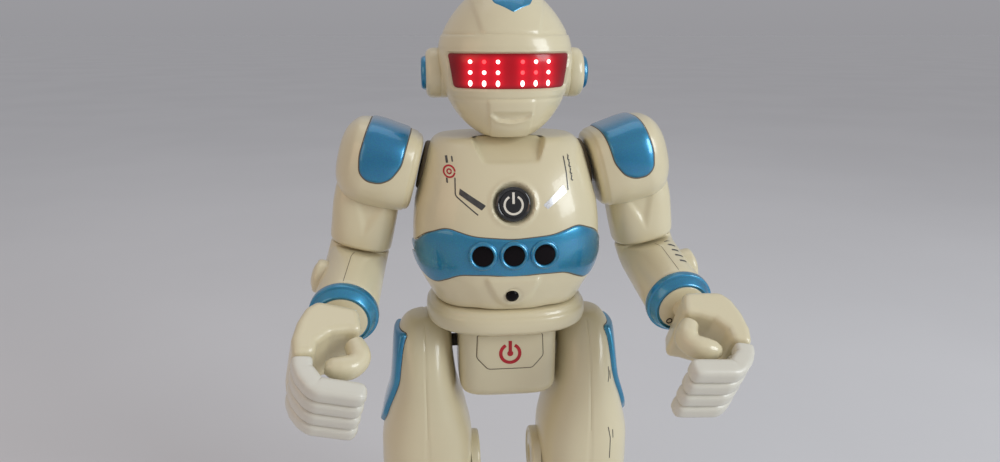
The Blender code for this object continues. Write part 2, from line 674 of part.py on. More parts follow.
def build_arm(side, torso):
    frame = arm_frame()
    lower = forearm_frame()
    wrist = wrist_frame() @ Matrix.Rotation(HAND_TURN[side], 4, 'Y')
    hand = wrist @ Matrix.Rotation(HAND_DROP, 4, 'X')
    shoulder_pivot = new_pivot("shoulder_" + side, sided_point(SHOULDER, side), torso)
    elbow_pivot = new_pivot("elbow_" + side, sided_point(lower.translation, side), shoulder_pivot)
    wrist_pivot = new_pivot("wrist_" + side, sided_point(wrist.translation, side), elbow_pivot)

    region = ((6.6, -1.8), (8.8, -5.8), (12.2, -7.6), (17.0, -7.8), (20.2, -5.8), (21.4, -1.2),
              (21.2, 7.0), (20.2, 30), (6.4, 30), (5.4, 4.0))
    bed = cut(pad_form(-1.0), pad_form(1.3))
    keep(bed, prism(grown(region, GAP), "y", -40, 40))
    pad = cut(pad_form(), bed, upper_arm_form(GAP))
    join(pad, rod((-8, 0, 0), (1, 0, 0), 10, SHAFT_RADIUS))
    finish(sided(moved(pad, frame), side), "shoulder_pad_" + side, CREAM, shoulder_pivot)
    panel = cut(pad_form(-0.4), pad_form(1.0))
    keep(panel, prism(region, "y", -40, 40))
    finish(sided(moved(panel, frame), side), "shoulder_panel_" + side, BLUE, shoulder_pivot)
    upper = cut(upper_arm_form(), rod((ARM_AXIS_OUT, 0, ELBOW_DROP - 1), (0, 0, 1), 8, SPIGOT_RADIUS + GAP))
    finish(sided(moved(upper, frame), side), "upper_arm_" + side, CREAM, shoulder_pivot)

    forearm = build_forearm()
    cap_start = Vector(ELBOW_CAP)
    cut(forearm, rod(cap_start - Vector((GAP, 0, 0)), (1, 0, 0), 10, ELBOW_CAP_RADIUS + GAP))
    finish(sided(moved(forearm, lower), side), "forearm_" + side, CREAM, elbow_pivot)
    cap = turned(cap_start, (1, 0, 0), ((0, ELBOW_CAP_RADIUS), (3.2, ELBOW_CAP_RADIUS), (4.8, 5.2), (5.6, 3.2)))
    finish(sided(moved(cap, lower), side), "elbow_cap_" + side, CREAM, elbow_pivot)
    finish(sided(moved(build_cuff(), lower), side), "cuff_ring_" + side, BLUE, elbow_pivot)

    finish(sided(moved(build_palm(), wrist), side), "palm_" + side, CREAM, wrist_pivot)
    finish(sided(moved(build_thumb(), hand), side), "thumb_" + side, CREAM, wrist_pivot)
    finish(sided(moved(build_fingers(), hand), side), "fingers_" + side, CREAM, wrist_pivot)


# ------------------------------------------------------------------ legs
def knee_pocket():
    y, z, radius = KNEE_DISC
    inner, outer = KNEE_DISC_X
    return rod((inner - 1, y, z), (1, 0, 0), outer - inner + 1 + GAP, radius + GAP)


def build_leg(side, torso):
    hip = new_pivot("hip_" + side, sided_point((LEG_X, 0, HIP_Z), side), torso)
    ankle = new_pivot("ankle_" + side, sided_point((LEG_X, 0, ANKLE_Z), side), hip)
    wheel_y, wheel_z, wheel_radius, wheel_half = WHEEL
    roll = new_pivot("wheel_" + side, sided_point((LEG_X, wheel_y, wheel_z), side), ankle)

    knee_y, knee_z, knee_radius = KNEE_DISC
    region = ((-10.2, 138.4), (6.8, 138.4), (11.8, 121.0), (12.6, 103.0), (9.0, 98.4), (-4.6, 98.4),
              (-9.8, 104.0), (-14.0, 120.0), (-12.6, 129.0))
    thigh = cut(form(THIGH_ROWS),
                inlay(THIGH_ROWS, prism(grown(region, GAP), "x", 33, 60), -2.0, 1.3), knee_pocket(),
                rod((15, 0, HIP_Z), (1, 0, 0), HIP_AXLE_HALF_LENGTH - 15 + 0.5, HIP_AXLE_RADIUS + 0.1))
    finish(sided(thigh, side), "thigh_" + side, CREAM, hip)
    panel = inlay(THIGH_ROWS, prism(region, "x", 33, 60), -2.0, 1.0)
    finish(sided(panel, side), "thigh_panel_" + side, BLUE, hip)
    disc = turned((KNEE_DISC_X[0], knee_y, knee_z), (1, 0, 0),
                  ((0, knee_radius - 1.2), (1.2, knee_radius), (KNEE_DISC_X[1] - KNEE_DISC_X[0], knee_radius)))
    finish(sided(disc, side), "knee_disc_" + side, CREAM, hip)
    socket = rod((0, 0, ANKLE_Z), (1, 0, 0), 80, ANKLE_RADIUS + GAP, 40)
    shin = cut(form(SHIN_ROWS), socket, knee_pocket())
    finish(sided(shin, side), "shin_" + side, CREAM, hip)

    boot = form(BOOT_ROWS)
    ankle_dome = join(rod((0, 0, ANKLE_Z), (1, 0, 0), 80, ANKLE_RADIUS, 40),
                      block((-10, -60, -5), (90, 60, 27)))
    keep(boot, ankle_dome)
    join(boot, block((LEG_X - PAD_HALF_WIDTH, PAD_Y[0], 0), (LEG_X + PAD_HALF_WIDTH, PAD_Y[1], 4)))
    well = wheel_half + 1.0
    cut(boot, block((LEG_X - well, wheel_y - wheel_radius - 1, -5),
                    (LEG_X + well, wheel_y + wheel_radius + 1, wheel_z + wheel_radius + 1)),
        rod((LEG_X - 9, wheel_y, wheel_z), (1, 0, 0), 18, WHEEL_AXLE_RADIUS + 0.1, SMALL_POINTS))
    finish(sided(boot, side), "boot_" + side, CREAM, ankle)
    wheel = turned((LEG_X - wheel_half, wheel_y, wheel_z), (1, 0, 0),
                   ((0, wheel_radius - 0.8), (0.8, wheel_radius), (2 * wheel_half - 0.8, wheel_radius),
                    (2 * wheel_half, wheel_radius - 0.8)), 24)
    join(wheel, rod((LEG_X - 8.6, wheel_y, wheel_z), (1, 0, 0), 17.2, WHEEL_AXLE_RADIUS, SMALL_POINTS))
    finish(sided(wheel, side), "drive_wheel_" + side, TYRE, roll)


# ------------------------------------------------------------------ assembly
def build_robot():
    for obj in list(bpy.data.objects):
        bpy.data.objects.remove(obj, do_unlink=True)
    frame = new_pivot("robot_frame", (0, 0, 0))
    frame["empty"].location = (FRAME_SHIFT[0] * MM, FRAME_SHIFT[1] * MM, 0)
    torso = new_pivot("torso", (0, 0, HIP_Z), frame)
    build_torso(torso)
    build_controls(torso)
    build_head(new_pivot("neck", (0, 0, 213), torso))
    for side in ("right", "left"):
        build_arm(side, torso)
        build_leg(side, torso)


build_robot()
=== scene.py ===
"""Looks for the educational coding robot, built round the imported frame.

Shapes are worked out in millimetres in the robot's own frame (it faces -Y, +Z up,
+X is its left side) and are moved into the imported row's frame as each piece is made.
Limbs are shaped on the left side and mirrored for the right.
"""
import json

import bpy
import numpy as np
from math import cos, pi, radians, sin
from mathutils import Matrix, Vector
from mathutils.bvhtree import BVHTree
from mathutils.geometry import delaunay_2d_cdt


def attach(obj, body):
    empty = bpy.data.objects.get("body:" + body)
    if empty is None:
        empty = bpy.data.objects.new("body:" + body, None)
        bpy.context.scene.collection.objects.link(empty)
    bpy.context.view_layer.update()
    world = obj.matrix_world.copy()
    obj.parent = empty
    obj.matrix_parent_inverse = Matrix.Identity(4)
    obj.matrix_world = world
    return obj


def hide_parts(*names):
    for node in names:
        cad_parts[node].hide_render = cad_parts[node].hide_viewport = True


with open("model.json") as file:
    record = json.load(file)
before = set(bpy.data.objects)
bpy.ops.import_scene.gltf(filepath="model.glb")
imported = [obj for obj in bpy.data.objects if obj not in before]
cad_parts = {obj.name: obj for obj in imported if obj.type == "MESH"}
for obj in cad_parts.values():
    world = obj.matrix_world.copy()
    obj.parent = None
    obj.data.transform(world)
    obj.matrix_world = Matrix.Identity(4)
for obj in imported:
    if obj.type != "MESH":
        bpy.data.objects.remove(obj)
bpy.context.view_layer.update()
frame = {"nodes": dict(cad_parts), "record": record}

MM = 0.001
SHIFT = np.array([1.24, 26.24, 0.0])  # from the robot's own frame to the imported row's
SHARP = radians(38)
FAR = 300.0  # mm, outside every form

# --- forms, in mm
# rows: height, centre x, half width, front y, back y, corner power
CHEST_ROWS = ((153.2, 0, 24.6, -24.2, 19.0, 2.6), (153.3, 0, 27.0, -26.6, 21.4, 2.6),
              (154.0, 0, 27.7, -27.3, 22.1, 2.6), (158.0, 0, 29.8, -29.3, 24.0, 2.6),
              (165.0, 0, 33.2, -31.5, 25.5, 2.7), (172.5, 0, 35.2, -32.5, 26.3, 2.7),
              (181.0, 0, 35.0, -32.3, 26.5, 2.7), (189.5, 0, 34.2, -31.2, 26.3, 2.7),
              (197.5, 0, 32.2, -28.8, 25.0, 2.7), (204.5, 0, 30.4, -25.4, 22.5, 2.7),
              (210.0, 0, 28.6, -21.4, 19.0, 2.7), (212.8, 0, 26.6, -18.3, 16.4, 2.7),
              (214.0, 0, 24.4, -15.7, 14.0, 2.7), (214.2, 0, 22.0, -13.6, 12.0, 2.7))
SKIRT_ROWS = ((143.4, 0, 24.6, -24.2, 17.6, 2.6), (143.5, 0, 28.2, -27.8, 21.2, 2.6),
              (144.0, 0, 29.2, -28.8, 22.2, 2.6), (145.4, 0, 30.4, -30.0, 23.3, 2.6),
              (147.6, 0, 30.7, -30.3, 23.6, 2.6), (149.4, 0, 30.5, -30.1, 23.4, 2.6),
              (151.6, 0, 29.2, -28.8, 22.4, 2.6), (152.6, 0, 28.0, -27.6, 21.4, 2.6),
              (152.9, 0, 26.4, -26.0, 20.0, 2.6))
PELVIS_ROWS = ((114.5, 0, 13.6, -13.6, 8.0, 4.0), (114.6, 0, 16.4, -17.4, 11.2, 4.2),
        (115.6, 0, 17.8, -19.4, 12.7, 4.4), (117.4, 0, 18.5, -21.2, 14.0, 4.6),
        (119.4, 0, 18.8, -22.0, 14.8, 4.8), (130.0, 0, 19.0, -22.4, 17.0, 4.8),
        (143.2, 0, 19.0, -22.0, 17.0, 4.8))
HEAD_ROWS = ((214.5, 0, 5.0, -13.0, 0.0, 2.3), (214.9, 0, 8.6, -17.2, 4.4, 2.3),
             (217.0, 0, 12.4, -19.9, 8.2, 2.3), (221.5, 0, 17.2, -22.1, 13.2, 2.3),
             (227.5, 0, 21.0, -23.9, 17.8, 2.3), (234.0, 0, 23.6, -24.9, 20.8, 2.3),
             (241.0, 0, 24.6, -25.2, 22.6, 2.3), (248.0, 0, 23.5, -24.1, 22.6, 2.2),
             (254.5, 0, 20.5, -21.1, 20.8, 2.1), (260.5, 0, 15.9, -16.4, 16.9, 2.0),
             (265.3, 0, 10.2, -10.7, 11.2, 2.0), (268.1, 0, 5.0, -5.4, 5.7, 2.0),
             (269.2, 0, 0.4, -0.6, 0.7, 2.0))
THIGH_ROWS = ((78.6, 31.8, 16.6, -21.2, 15.6, 2.6), (78.9, 31.8, 17.8, -22.4, 16.8, 2.6),
              (80.0, 31.8, 18.2, -22.9, 17.3, 2.6), (92.0, 31.8, 18.1, -23.4, 17.6, 2.6),
              (105.0, 31.8, 15.8, -22.6, 17.2, 2.5), (118.0, 31.9, 12.3, -20.2, 16.0, 2.5),
              (128.0, 32.0, 11.2, -17.2, 14.8, 2.5), (136.0, 31.9, 10.6, -13.5, 12.8, 2.4),
              (141.0, 31.4, 8.9, -9.8, 9.4, 2.3), (143.4, 31.0, 6.2, -5.8, 5.6, 2.2),
              (143.9, 30.8, 2.0, -2.0, 2.0, 2.2))
SHIN_ROWS = ((0.0, 31.8, 14.6, -16.6, 15.0, 2.7), (11.8, 31.8, 14.8, -17.6, 15.0, 2.7),
             (23.8, 31.8, 16.0, -19.6, 15.6, 2.7), (35.8, 31.8, 17.6, -21.8, 16.6, 2.6),
             (44.8, 31.8, 18.2, -22.8, 17.2, 2.6), (45.9, 31.8, 17.7, -22.3, 16.7, 2.6),
             (46.2, 31.8, 16.4, -21.0, 15.4, 2.6))
BOOT_ROWS = ((2.4, 31.8, 16.4, -39.4, 22.4, 3.0), (2.6, 31.8, 17.9, -41.0, 23.9, 3.0),
             (4.6, 31.8, 18.9, -42.3, 24.9, 3.0), (6.6, 31.8, 19.0, -42.4, 25.0, 3.0),
             (12.0, 31.8, 19.0, -41.6, 24.6, 2.9), (19.0, 31.8, 17.8, -36.0, 22.4, 2.7),
             (25.0, 31.8, 16.0, -26.0, 19.4, 2.6), (31.0, 31.8, 14.4, -17.0, 16.4, 2.6),
             (40.9, 31.8, 13.6, -15.4, 14.6, 2.6))
# along the shoulder's axis: out, bottom, top, half depth, power
PAD_ROWS = ((0.0, -13.6, 7.0, 12.0, 2.8), (0.1, -15.6, 9.0, 14.0, 2.8),
            (0.8, -16.9, 10.4, 15.8, 2.9), (2.6, -17.8, 11.4, 17.4, 3.0),
            (11.0, -18.6, 12.2, 18.8, 3.0), (18.0, -18.5, 12.8, 18.6, 3.0),
            (23.5, -17.4, 12.2, 16.8, 2.8), (27.0, -14.4, 9.4, 12.8, 2.5),
            (28.8, -10.6, 5.6, 8.4, 2.3), (29.4, -7.0, 1.8, 4.4, 2.1), (29.5, -4.0, -1.4, 0.8, 2.0))

VISOR = ((-20.2, 231.8), (20.2, 231.8), (22.2, 244.2), (-22.2, 244.2))
LIP_PANEL = ((-8.0, 228.2), (8.2, 228.2), (6.8, 215.0), (-6.6, 215.0))
SMILE = ((-7.2, 224.1), (7.6, 224.1), (5.2, 221.6), (0.4, 220.7), (-4.4, 221.5))
EAR = (0.0, 236.4)
BAND = ((0, 167.3), (9.0, 168.1), (19.0, 168.0), (28.0, 163.2), (33.6, 166.4), (37.0, 173.6),
        (31.0, 181.6), (23.4, 185.0), (14.0, 182.2), (0, 181.1), (-14.0, 182.2), (-23.4, 185.0),
        (-31.0, 181.6), (-37.0, 173.6), (-33.6, 166.4), (-28.0, 163.2), (-19.0, 168.0),
        (-9.0, 168.1))
COLLAR = ((-9.4, 206.6), (9.4, 206.6), (13.3, 215.0), (20.0, 230), (-20.0, 230), (-13.3, 215.0))
BUTTON_CENTRE = np.array([0.0, -30.3, 193.3])
BUTTON_LEAN = radians(12)
SENSORS = ((-10.8, "right"), (0.0, "middle"), (10.8, "left"))
SENSOR_Z = 175.5
IR_Z = 160.4
MARK_CENTRE = (0, 134.0)
SHIELD = ((-12.2, 141.4), (12.2, 141.4), (12.6, 132.4), (8.4, 127.8), (-8.4, 127.8), (-12.6, 132.4))
DOOR = ((-15.0, 164.5), (15.0, 164.5), (15.0, 200.5), (-15.0, 200.5))
THIGH_PANEL = ((-10.2, 138.4), (6.8, 138.4), (11.8, 121.0), (12.6, 103.0), (9.0, 98.4),
        (-4.6, 98.4), (-9.8, 104.0), (-14.0, 120.0), (-12.6, 129.0))
PAD_WRAP = 15.0  # mm of pad for each radian round its axis
SHOULDER = (32.5, 0.0, 203.0)
SHOULDER_LEAN = radians(14.5)
ARM_AXIS_OUT = 14.4
ELBOW_DROP = -35.2
ELBOW_BEND = radians(75)
ELBOW_TURN = 8.0
FOREARM_RADIUS = 11.2
CUFF_START = 28.6
FOREARM_END = 35.0
HAND_DROP = radians(13)
HAND_TURN = {"right": 0.0, "left": radians(-18)}
HAND_HALF = 12.4
THUMB_PATH = ((-5.3, 15.0), (-7.4, 18.2), (-8.0, 21.2), (-6.4, 23.9), (-3.0, 25.3), (1.8, 25.9))
HIP_Z = 131.0
ANKLE_Z = 19.0
LEG_X = 31.8
SIDES = ("right", "left")


# --- curves and outlines
def pchip(x, values, at):
    """Smooth curves through rows of values, with no overshoot."""
    x, values = np.asarray(x, float), np.asarray(values, float)
    slope = np.diff(values, axis=0) / np.diff(x)[:, None]
    before, after = slope[:-1], slope[1:]
    total = np.where(before * after > 0, before + after, 1)
    tangent = np.zeros_like(values)
    tangent[1:-1] = np.where(before * after > 0, 2 * before * after / total, 0)
    tangent[0], tangent[-1] = slope[0], slope[-1]
    i = np.clip(np.searchsorted(x, at, side="right") - 1, 0, len(x) - 2)
    h = (x[i + 1] - x[i])[:, None]
    t = (at - x[i])[:, None] / h
    return ((2 * t**3 - 3 * t**2 + 1) * values[i] + (t**3 - 2 * t**2 + t) * h * tangent[i]
            + (3 * t**2 - 2 * t**3) * values[i + 1] + (t**3 - t**2) * h * tangent[i + 1])


def running(lengths):
    return np.concatenate([[0], np.cumsum(lengths)])


def smoothed(rows, count):
    """A form's rows as an even run of rows along its side."""
    rows = np.asarray(rows, float)
    span = np.hypot(np.diff(rows[:, 0]), np.diff(rows[:, 2]))
    along = running(span)
    return pchip(along, rows, np.linspace(0, along[-1], count))


def bulge(share, power):
    """A circle's cosine or sine, squared up by a power above 2."""
    return np.sign(share) * np.abs(share) ** (2 / power)


def even_angles(wide, deep, power, count):
    """Angles that space points evenly round a rounded outline."""
    angles = np.linspace(-pi / 2, 3 * pi / 2, 4001)
    c, s = np.cos(angles), np.sin(angles)
    x = wide * bulge(c, power)
    y = deep * bulge(s, power)
    run = running(np.hypot(np.diff(x), np.diff(y)))
    return np.interp(np.linspace(0, run[-1], count, endpoint=False), run, angles)


def resampled(points, step, closed=True):
    points = np.asarray(points, float)
    if closed:
        points = np.vstack([points, points[:1]])
    run = running(np.linalg.norm(np.diff(points, axis=0), axis=1))
    count = max(int(round(run[-1] / step)), 8)
    at = np.linspace(0, run[-1], count + (0 if closed else 1), endpoint=not closed)
    return np.stack([np.interp(at, run, points[:, k]) for k in range(points.shape[1])], 1)


def rounded(corners, radius, step=0.5, closed=True):
    """An outline with each corner turned into a soft bend, then points every step mm."""
    corners = np.asarray(corners, float)
    count = len(corners)
    points = []
    for i in range(count):
        here = corners[i]
        if not closed and i in (0, count - 1):
            points.append(here)
            continue
        before, after = corners[i - 1], corners[(i + 1) % count]
        first, second = np.linalg.norm(before - here), np.linalg.norm(after - here)
        start = here + (before - here) * min(radius / first, 0.48)
        end = here + (after - here) * min(radius / second, 0.48)
        for t in np.linspace(0, 1, 9):
            points.append((1 - t) ** 2 * start + 2 * t * (1 - t) * here + t ** 2 * end)
    return resampled(points, step, closed)


def distance(points, outline):
    """Distance to a closed outline in mm, negative inside it."""
    flat = np.asarray(points, float).reshape(-1, 2)
    line = np.asarray(outline, float)
    ends = np.roll(line, -1, axis=0)
    best = np.full(len(flat), np.inf)
    crossings = np.zeros(len(flat), int)
    for a, b in zip(line, ends):
        edge = b - a
        t = np.clip(((flat - a) @ edge) / max(edge @ edge, 1e-12), 0, 1)
        best = np.minimum(best, np.linalg.norm(flat - a - t[:, None] * edge, axis=1))
        if a[1] != b[1]:
            over = (a[1] > flat[:, 1]) != (b[1] > flat[:, 1])
            cross_x = a[0] + (flat[:, 1] - a[1]) / (b[1] - a[1]) * edge[0]
            crossings += over & (flat[:, 0] < cross_x)
    best = np.where(crossings % 2 == 1, -best, best)
    return best.reshape(np.asarray(points).shape[:-1])


def unit(vectors):
    return vectors / np.maximum(np.linalg.norm(vectors, axis=-1, keepdims=True), 1e-9)


def inside(gap, width):
    """1 well inside an outline, 0 outside it, smooth over a width about it."""
    t = np.clip(0.5 - gap / width, 0, 1)
    return t * t * (3 - 2 * t)


def groove(gap, width, depth):
    return -depth * np.exp(-(gap / width) ** 2)


# --- meshes
def rings(rows, angles):
    """A form's surface: one ring of points per row."""
    z, cx, half, front, back, power = (rows[:, i, None] for i in range(6))
    c, s = np.cos(angles), np.sin(angles)
    x = cx + half * bulge(c, power)
    y = (front + back) / 2 + (back - front) / 2 * bulge(s, power)
    return np.stack([x, y, np.broadcast_to(z, x.shape)], -1)


def grid_normals(grid):
    round_ = np.roll(grid, -1, axis=1) - np.roll(grid, 1, axis=1)
    up = np.gradient(grid, axis=0)
    return unit(np.cross(round_, up))


def closed_grid(grid):
    """Vertices and faces of rings joined into a closed skin."""
    rows, count = grid.shape[:2]
    points = [tuple(p) for p in grid.reshape(-1, 3)]
    faces = []
    for i in range(rows - 1):
        for j in range(count):
            k = (j + 1) % count
            faces.append((i * count + j, i * count + k, (i + 1) * count + k, (i + 1) * count + j))
    for ring, turn in ((0, -1), (rows - 1, 1)):
        middle = len(points)
        points.append(tuple(grid[ring].mean(axis=0)))
        for j in range(count):
            pair = (ring * count + j, ring * count + (j + 1) % count)
            faces.append((middle, *pair[::turn]))
    return points, outward(points, faces)


def outward(points, faces):
    """A closed skin's faces, wound to face outwards."""
    points = np.array(points) - np.mean(points, axis=0)
    triangles = np.array([f[:3] for f in faces] + [(f[0], *f[2:]) for f in faces if len(f) == 4])
    a, b, c = (points[triangles[:, k]] for k in range(3))
    volume = np.einsum("ij,ij->", a, np.cross(b, c))
    return faces if volume > 0 else [f[::-1] for f in faces]


def turned(start, direction, profile, count=64):
    """A turned solid from rows of (distance along direction, radius)."""
    direction = Vector(direction).normalized()
    side = direction.orthogonal().normalized()
    other = direction.cross(side)
    angles = np.linspace(0, 2 * pi, count, endpoint=False)
    circle = np.cos(angles)[:, None] * np.array(side) + np.sin(angles)[:, None] * np.array(other)
    grid = np.array([np.array(start) + np.array(direction) * along + circle * radius for along,
            radius in profile])
    return closed_grid(grid)


def sweep(stations, section):
    """A closed skin through sections; a station is (centre, across, up, wide, tall)."""
    grid = np.array([np.array(c) + section[:, :1] * wide * np.array(a) + section[:, 1:] * tall
            * np.array(u) for c, a, u, wide, tall in stations])
    return closed_grid(grid)


def superellipse(power, count):
    angles = even_angles(1, 1, power, count)
    c, s = np.cos(angles), np.sin(angles)
    return np.stack([bulge(c, power), bulge(s, power)], 1)


def fill(outline, step, rims=()):
    """Points inside an outline and the triangles that join them."""
    outline = np.asarray(outline, float)
    points = [outline]
    tangent = np.roll(outline, -1, axis=0) - np.roll(outline, 1, axis=0)
    normal = unit(np.stack([-tangent[:, 1], tangent[:, 0]], 1))
    if distance(outline[:1] + normal[:1] * 0.05, outline)[0] > 0:
        normal = -normal
    for rim in rims:
        ring = outline + normal * rim
        points.append(ring[distance(ring, outline) < -0.93 * rim])
    low, high = outline.min(axis=0), outline.max(axis=0)
    lines = np.arange(low[1], high[1], step * 0.87)
    grid = np.array([(x + (step / 2 if k % 2 else 0), y) for k,
            y in enumerate(lines) for x in np.arange(low[0], high[0], step)])
    if len(grid):
        points.append(grid[distance(grid, outline) < -(rims[-1] if rims else 0) - 0.55 * step])
    points = np.vstack(points)
    count = len(outline)
    result = delaunay_2d_cdt([Vector(p) for p in points], [(i, (i + 1) % count)
            for i in range(count)], [list(range(count))], 1, 1e-5)
    return np.array([tuple(p) for p in result[0]]), [tuple(f) for f in result[2]]


def solid_tree(mesh):
    return BVHTree.FromPolygons(mesh[0], mesh[1])


def cast(tree, origins, directions):
    """Where rays meet a surface, and the surface's outward normals there."""
    places, normals = [], []
    for origin, direction in zip(origins, directions):
        place, normal, _, _ = tree.ray_cast(Vector(origin), Vector(direction))
        if place is None:
            place, normal, _, _ = tree.find_nearest(Vector(origin) + Vector(direction) * 60)
        places.append(tuple(place))
        normals.append(tuple(normal))
    return np.array(places), np.array(normals)


def facing(tree, axis, sign):
    """Puts points given on the other two axes on the side of a surface that faces this axis."""
    def place(points):
        way = np.zeros(3)
        way[axis] = -sign
        return cast(tree, np.insert(points, axis, sign * FAR, axis=1),
                    np.tile(way, (len(points), 1)))
    return place


def from_front(tree):
    return facing(tree, 1, -1)


def from_back(tree):
    return facing(tree, 1, 1)


def from_left(tree):
    return facing(tree, 0, 1)


def over_crown(tree, centre_z):
    """Puts (x, length over the crown) points on the head's front and top."""
    def place(points):
        angle = points[:, 1]
        origins = np.stack([points[:, 0], np.zeros(len(points)), np.full(len(points), centre_z)], 1)
        ways = np.stack([np.zeros(len(points)), -np.cos(angle), np.sin(angle)], 1)
        return cast(tree, origins, ways)
    return place


def plate(outline, place, height, edge=0.8, sink=0.5, step=1.2, crown=0.0):
    """A thin plate that follows a surface: proud in the middle, its edge rolled under the skin."""
    rims = (0.12 * edge, 0.35 * edge, 0.7 * edge, 1.1 * edge) if edge > 0.05 else ()
    flat, faces = fill(outline, step, rims)
    places, normals = place(flat)
    gap = np.maximum(-distance(flat, outline), 0)
    share = np.clip(gap / edge, 0, 1) if edge else np.ones(len(gap))
    rise = -sink + (height + sink) * np.sqrt(1 - (1 - share) ** 2)
    rise += crown * (1 - np.exp(-gap / 4))
    points = places + normals * rise[:, None]
    a, b, c = (points[list(v)] for v in zip(*[f[:3] for f in faces]))
    facing = np.einsum("ij,ij->i", np.cross(b - a, c - a), normals[[f[0] for f in faces]])
    if facing.sum() < 0:
        faces = [f[::-1] for f in faces]
    return [tuple(p) for p in points], faces


def film(outline, place, height=0.06, step=0.6):
    """A sheet that follows a surface, such as print or a shadow gap."""
    return plate(outline, place, height, edge=0, sink=0, step=step)


def stroke(line, width):
    """The outline of a stripe along a line."""
    line = np.asarray(line, float)
    tangent = np.gradient(line, axis=0)
    normal = unit(np.stack([-tangent[:, 1], tangent[:, 0]], 1))
    return np.vstack([line + normal * width / 2, (line - normal * width / 2)[::-1]])


def circle(centre, radius, count=40):
    angles = np.linspace(0, 2 * pi, count, endpoint=False)
    return np.stack([centre[0] + radius * np.cos(angles), centre[1] + radius * np.sin(angles)], 1)


def arc(centre, radius, start, end, count=36):
    angles = np.radians(np.linspace(start, end, count))
    return np.stack([centre[0] + radius * np.cos(angles), centre[1] + radius * np.sin(angles)], 1)


def grown(outline, amount):
    """An outline of close points, moved outwards."""
    outline = np.asarray(outline, float)
    tangent = np.roll(outline, -1, axis=0) - np.roll(outline, 1, axis=0)
    normal = unit(np.stack([tangent[:, 1], -tangent[:, 0]], 1))
    area = (outline[:, 0] * np.roll(outline[:, 1], -1) - np.roll(outline[:, 0], -1)
            * outline[:, 1]).sum()
    return outline + normal * amount * np.sign(area)


def joined(*meshes):
    points, faces = [], []
    for part_points, part_faces in meshes:
        start = len(points)
        points += [tuple(p) for p in part_points]
        faces += [tuple(start + i for i in f) for f in part_faces]
    return points, faces


def moved(mesh, matrix):
    points = np.array(mesh[0], float)
    turn = np.array(matrix.to_3x3())
    return [tuple(p) for p in points @ turn.T + np.array(matrix.translation)], mesh[1]


def mirrored(mesh):
    return [(-x, y, z) for x, y, z in mesh[0]], [f[::-1] for f in mesh[1]]


def sided(mesh, side):
    return mirrored(mesh) if side == "right" else mesh


# --- materials
def node_tree(name):
    material = bpy.data.materials.new(name)
    material.use_nodes = True
    return material, material.node_tree.nodes, material.node_tree.links


def noise(nodes, links, coordinates, scale, detail=2.0):
    texture = nodes.new("ShaderNodeTexNoise")
    texture.inputs["Scale"].default_value = scale
    texture.inputs["Detail"].default_value = detail
    links.new(coordinates, texture.inputs["Vector"])
    return texture.outputs["Fac"]


def blended(nodes, links, factor, low, high, first, second):
    """A colour between two, by where a factor lies between low and high."""
    ramp = nodes.new("ShaderNodeValToRGB")
    ramp.color_ramp.elements[0].position = low
    ramp.color_ramp.elements[0].color = (*first, 1)
    ramp.color_ramp.elements[1].position = high
    ramp.color_ramp.elements[1].color = (*second, 1)
    links.new(factor, ramp.inputs["Fac"])
    return ramp.outputs["Color"]


def surface(name, first, second, patch_scale, roughness, metallic=0.0, coat=0.0, grain_scale=900.0,
            grain=0.02, rough_spread=0.05, specular=0.5, flakes=0.0, emission=0.0):
    """A finish: colour that drifts between two shades, uneven gloss and fine grain."""
    material, nodes, links = node_tree(name)
    shader = nodes["Principled BSDF"]
    where = nodes.new("ShaderNodeTexCoord").outputs["Object"]
    colour = blended(nodes, links, noise(nodes, links, where, patch_scale, 3), 0.38, 0.62, first,
            second)
    if flakes:
        cells = nodes.new("ShaderNodeTexVoronoi")
        cells.inputs["Scale"].default_value = 6000
        links.new(where, cells.inputs["Vector"])
        mix = nodes.new("ShaderNodeMix")
        mix.data_type = 'RGBA'
        mix.blend_type = 'SOFT_LIGHT'
        mix.inputs["Factor"].default_value = flakes
        links.new(colour, mix.inputs["A"])
        links.new(cells.outputs["Color"], mix.inputs["B"])
        colour = mix.outputs["Result"]
    links.new(colour, shader.inputs["Base Color"])
    spread = nodes.new("ShaderNodeMapRange")
    spread.inputs["To Min"].default_value = roughness - rough_spread
    spread.inputs["To Max"].default_value = roughness + rough_spread
    links.new(noise(nodes, links, where, patch_scale * 4, 4), spread.inputs["Value"])
    links.new(spread.outputs["Result"], shader.inputs["Roughness"])
    bump = nodes.new("ShaderNodeBump")
    bump.inputs["Strength"].default_value = grain
    bump.inputs["Distance"].default_value = 0.0004
    links.new(noise(nodes, links, where, grain_scale, 2), bump.inputs["Height"])
    links.new(bump.outputs["Normal"], shader.inputs["Normal"])
    shader.inputs["Metallic"].default_value = metallic
    shader.inputs["Coat Weight"].default_value = coat
    shader.inputs["Coat Roughness"].default_value = 0.06
    shader.inputs["Specular IOR Level"].default_value = specular
    if emission:
        shader.inputs["Emission Color"].default_value = (*first, 1)
        shader.inputs["Emission Strength"].default_value = emission
    return material


def glowing_visor():
    """Clear red plastic with light behind it: the glow comes from each point's own amount."""
    material = surface("visor_glow", (0.16, 0.002, 0.006), (0.22, 0.003, 0.009), 60, 0.22,
            coat=0.12, specular=0.3, grain=0.004, rough_spread=0.02)
    nodes, links = material.node_tree.nodes, material.node_tree.links
    amount = nodes.new("ShaderNodeAttribute")
    amount.attribute_name = "glow"
    shader = nodes["Principled BSDF"]
    tint = blended(nodes, links, amount.outputs["Fac"], 0.0, 1.0, (0.45, 0.0, 0.006),
            (0.95, 0.012, 0.03))
    links.new(tint, shader.inputs["Emission Color"])
    strength = nodes.new("ShaderNodeMath")
    strength.operation = 'MULTIPLY'
    strength.inputs[1].default_value = 1.25
    links.new(amount.outputs["Fac"], strength.inputs[0])
    links.new(strength.outputs["Value"], shader.inputs["Emission Strength"])
    return material


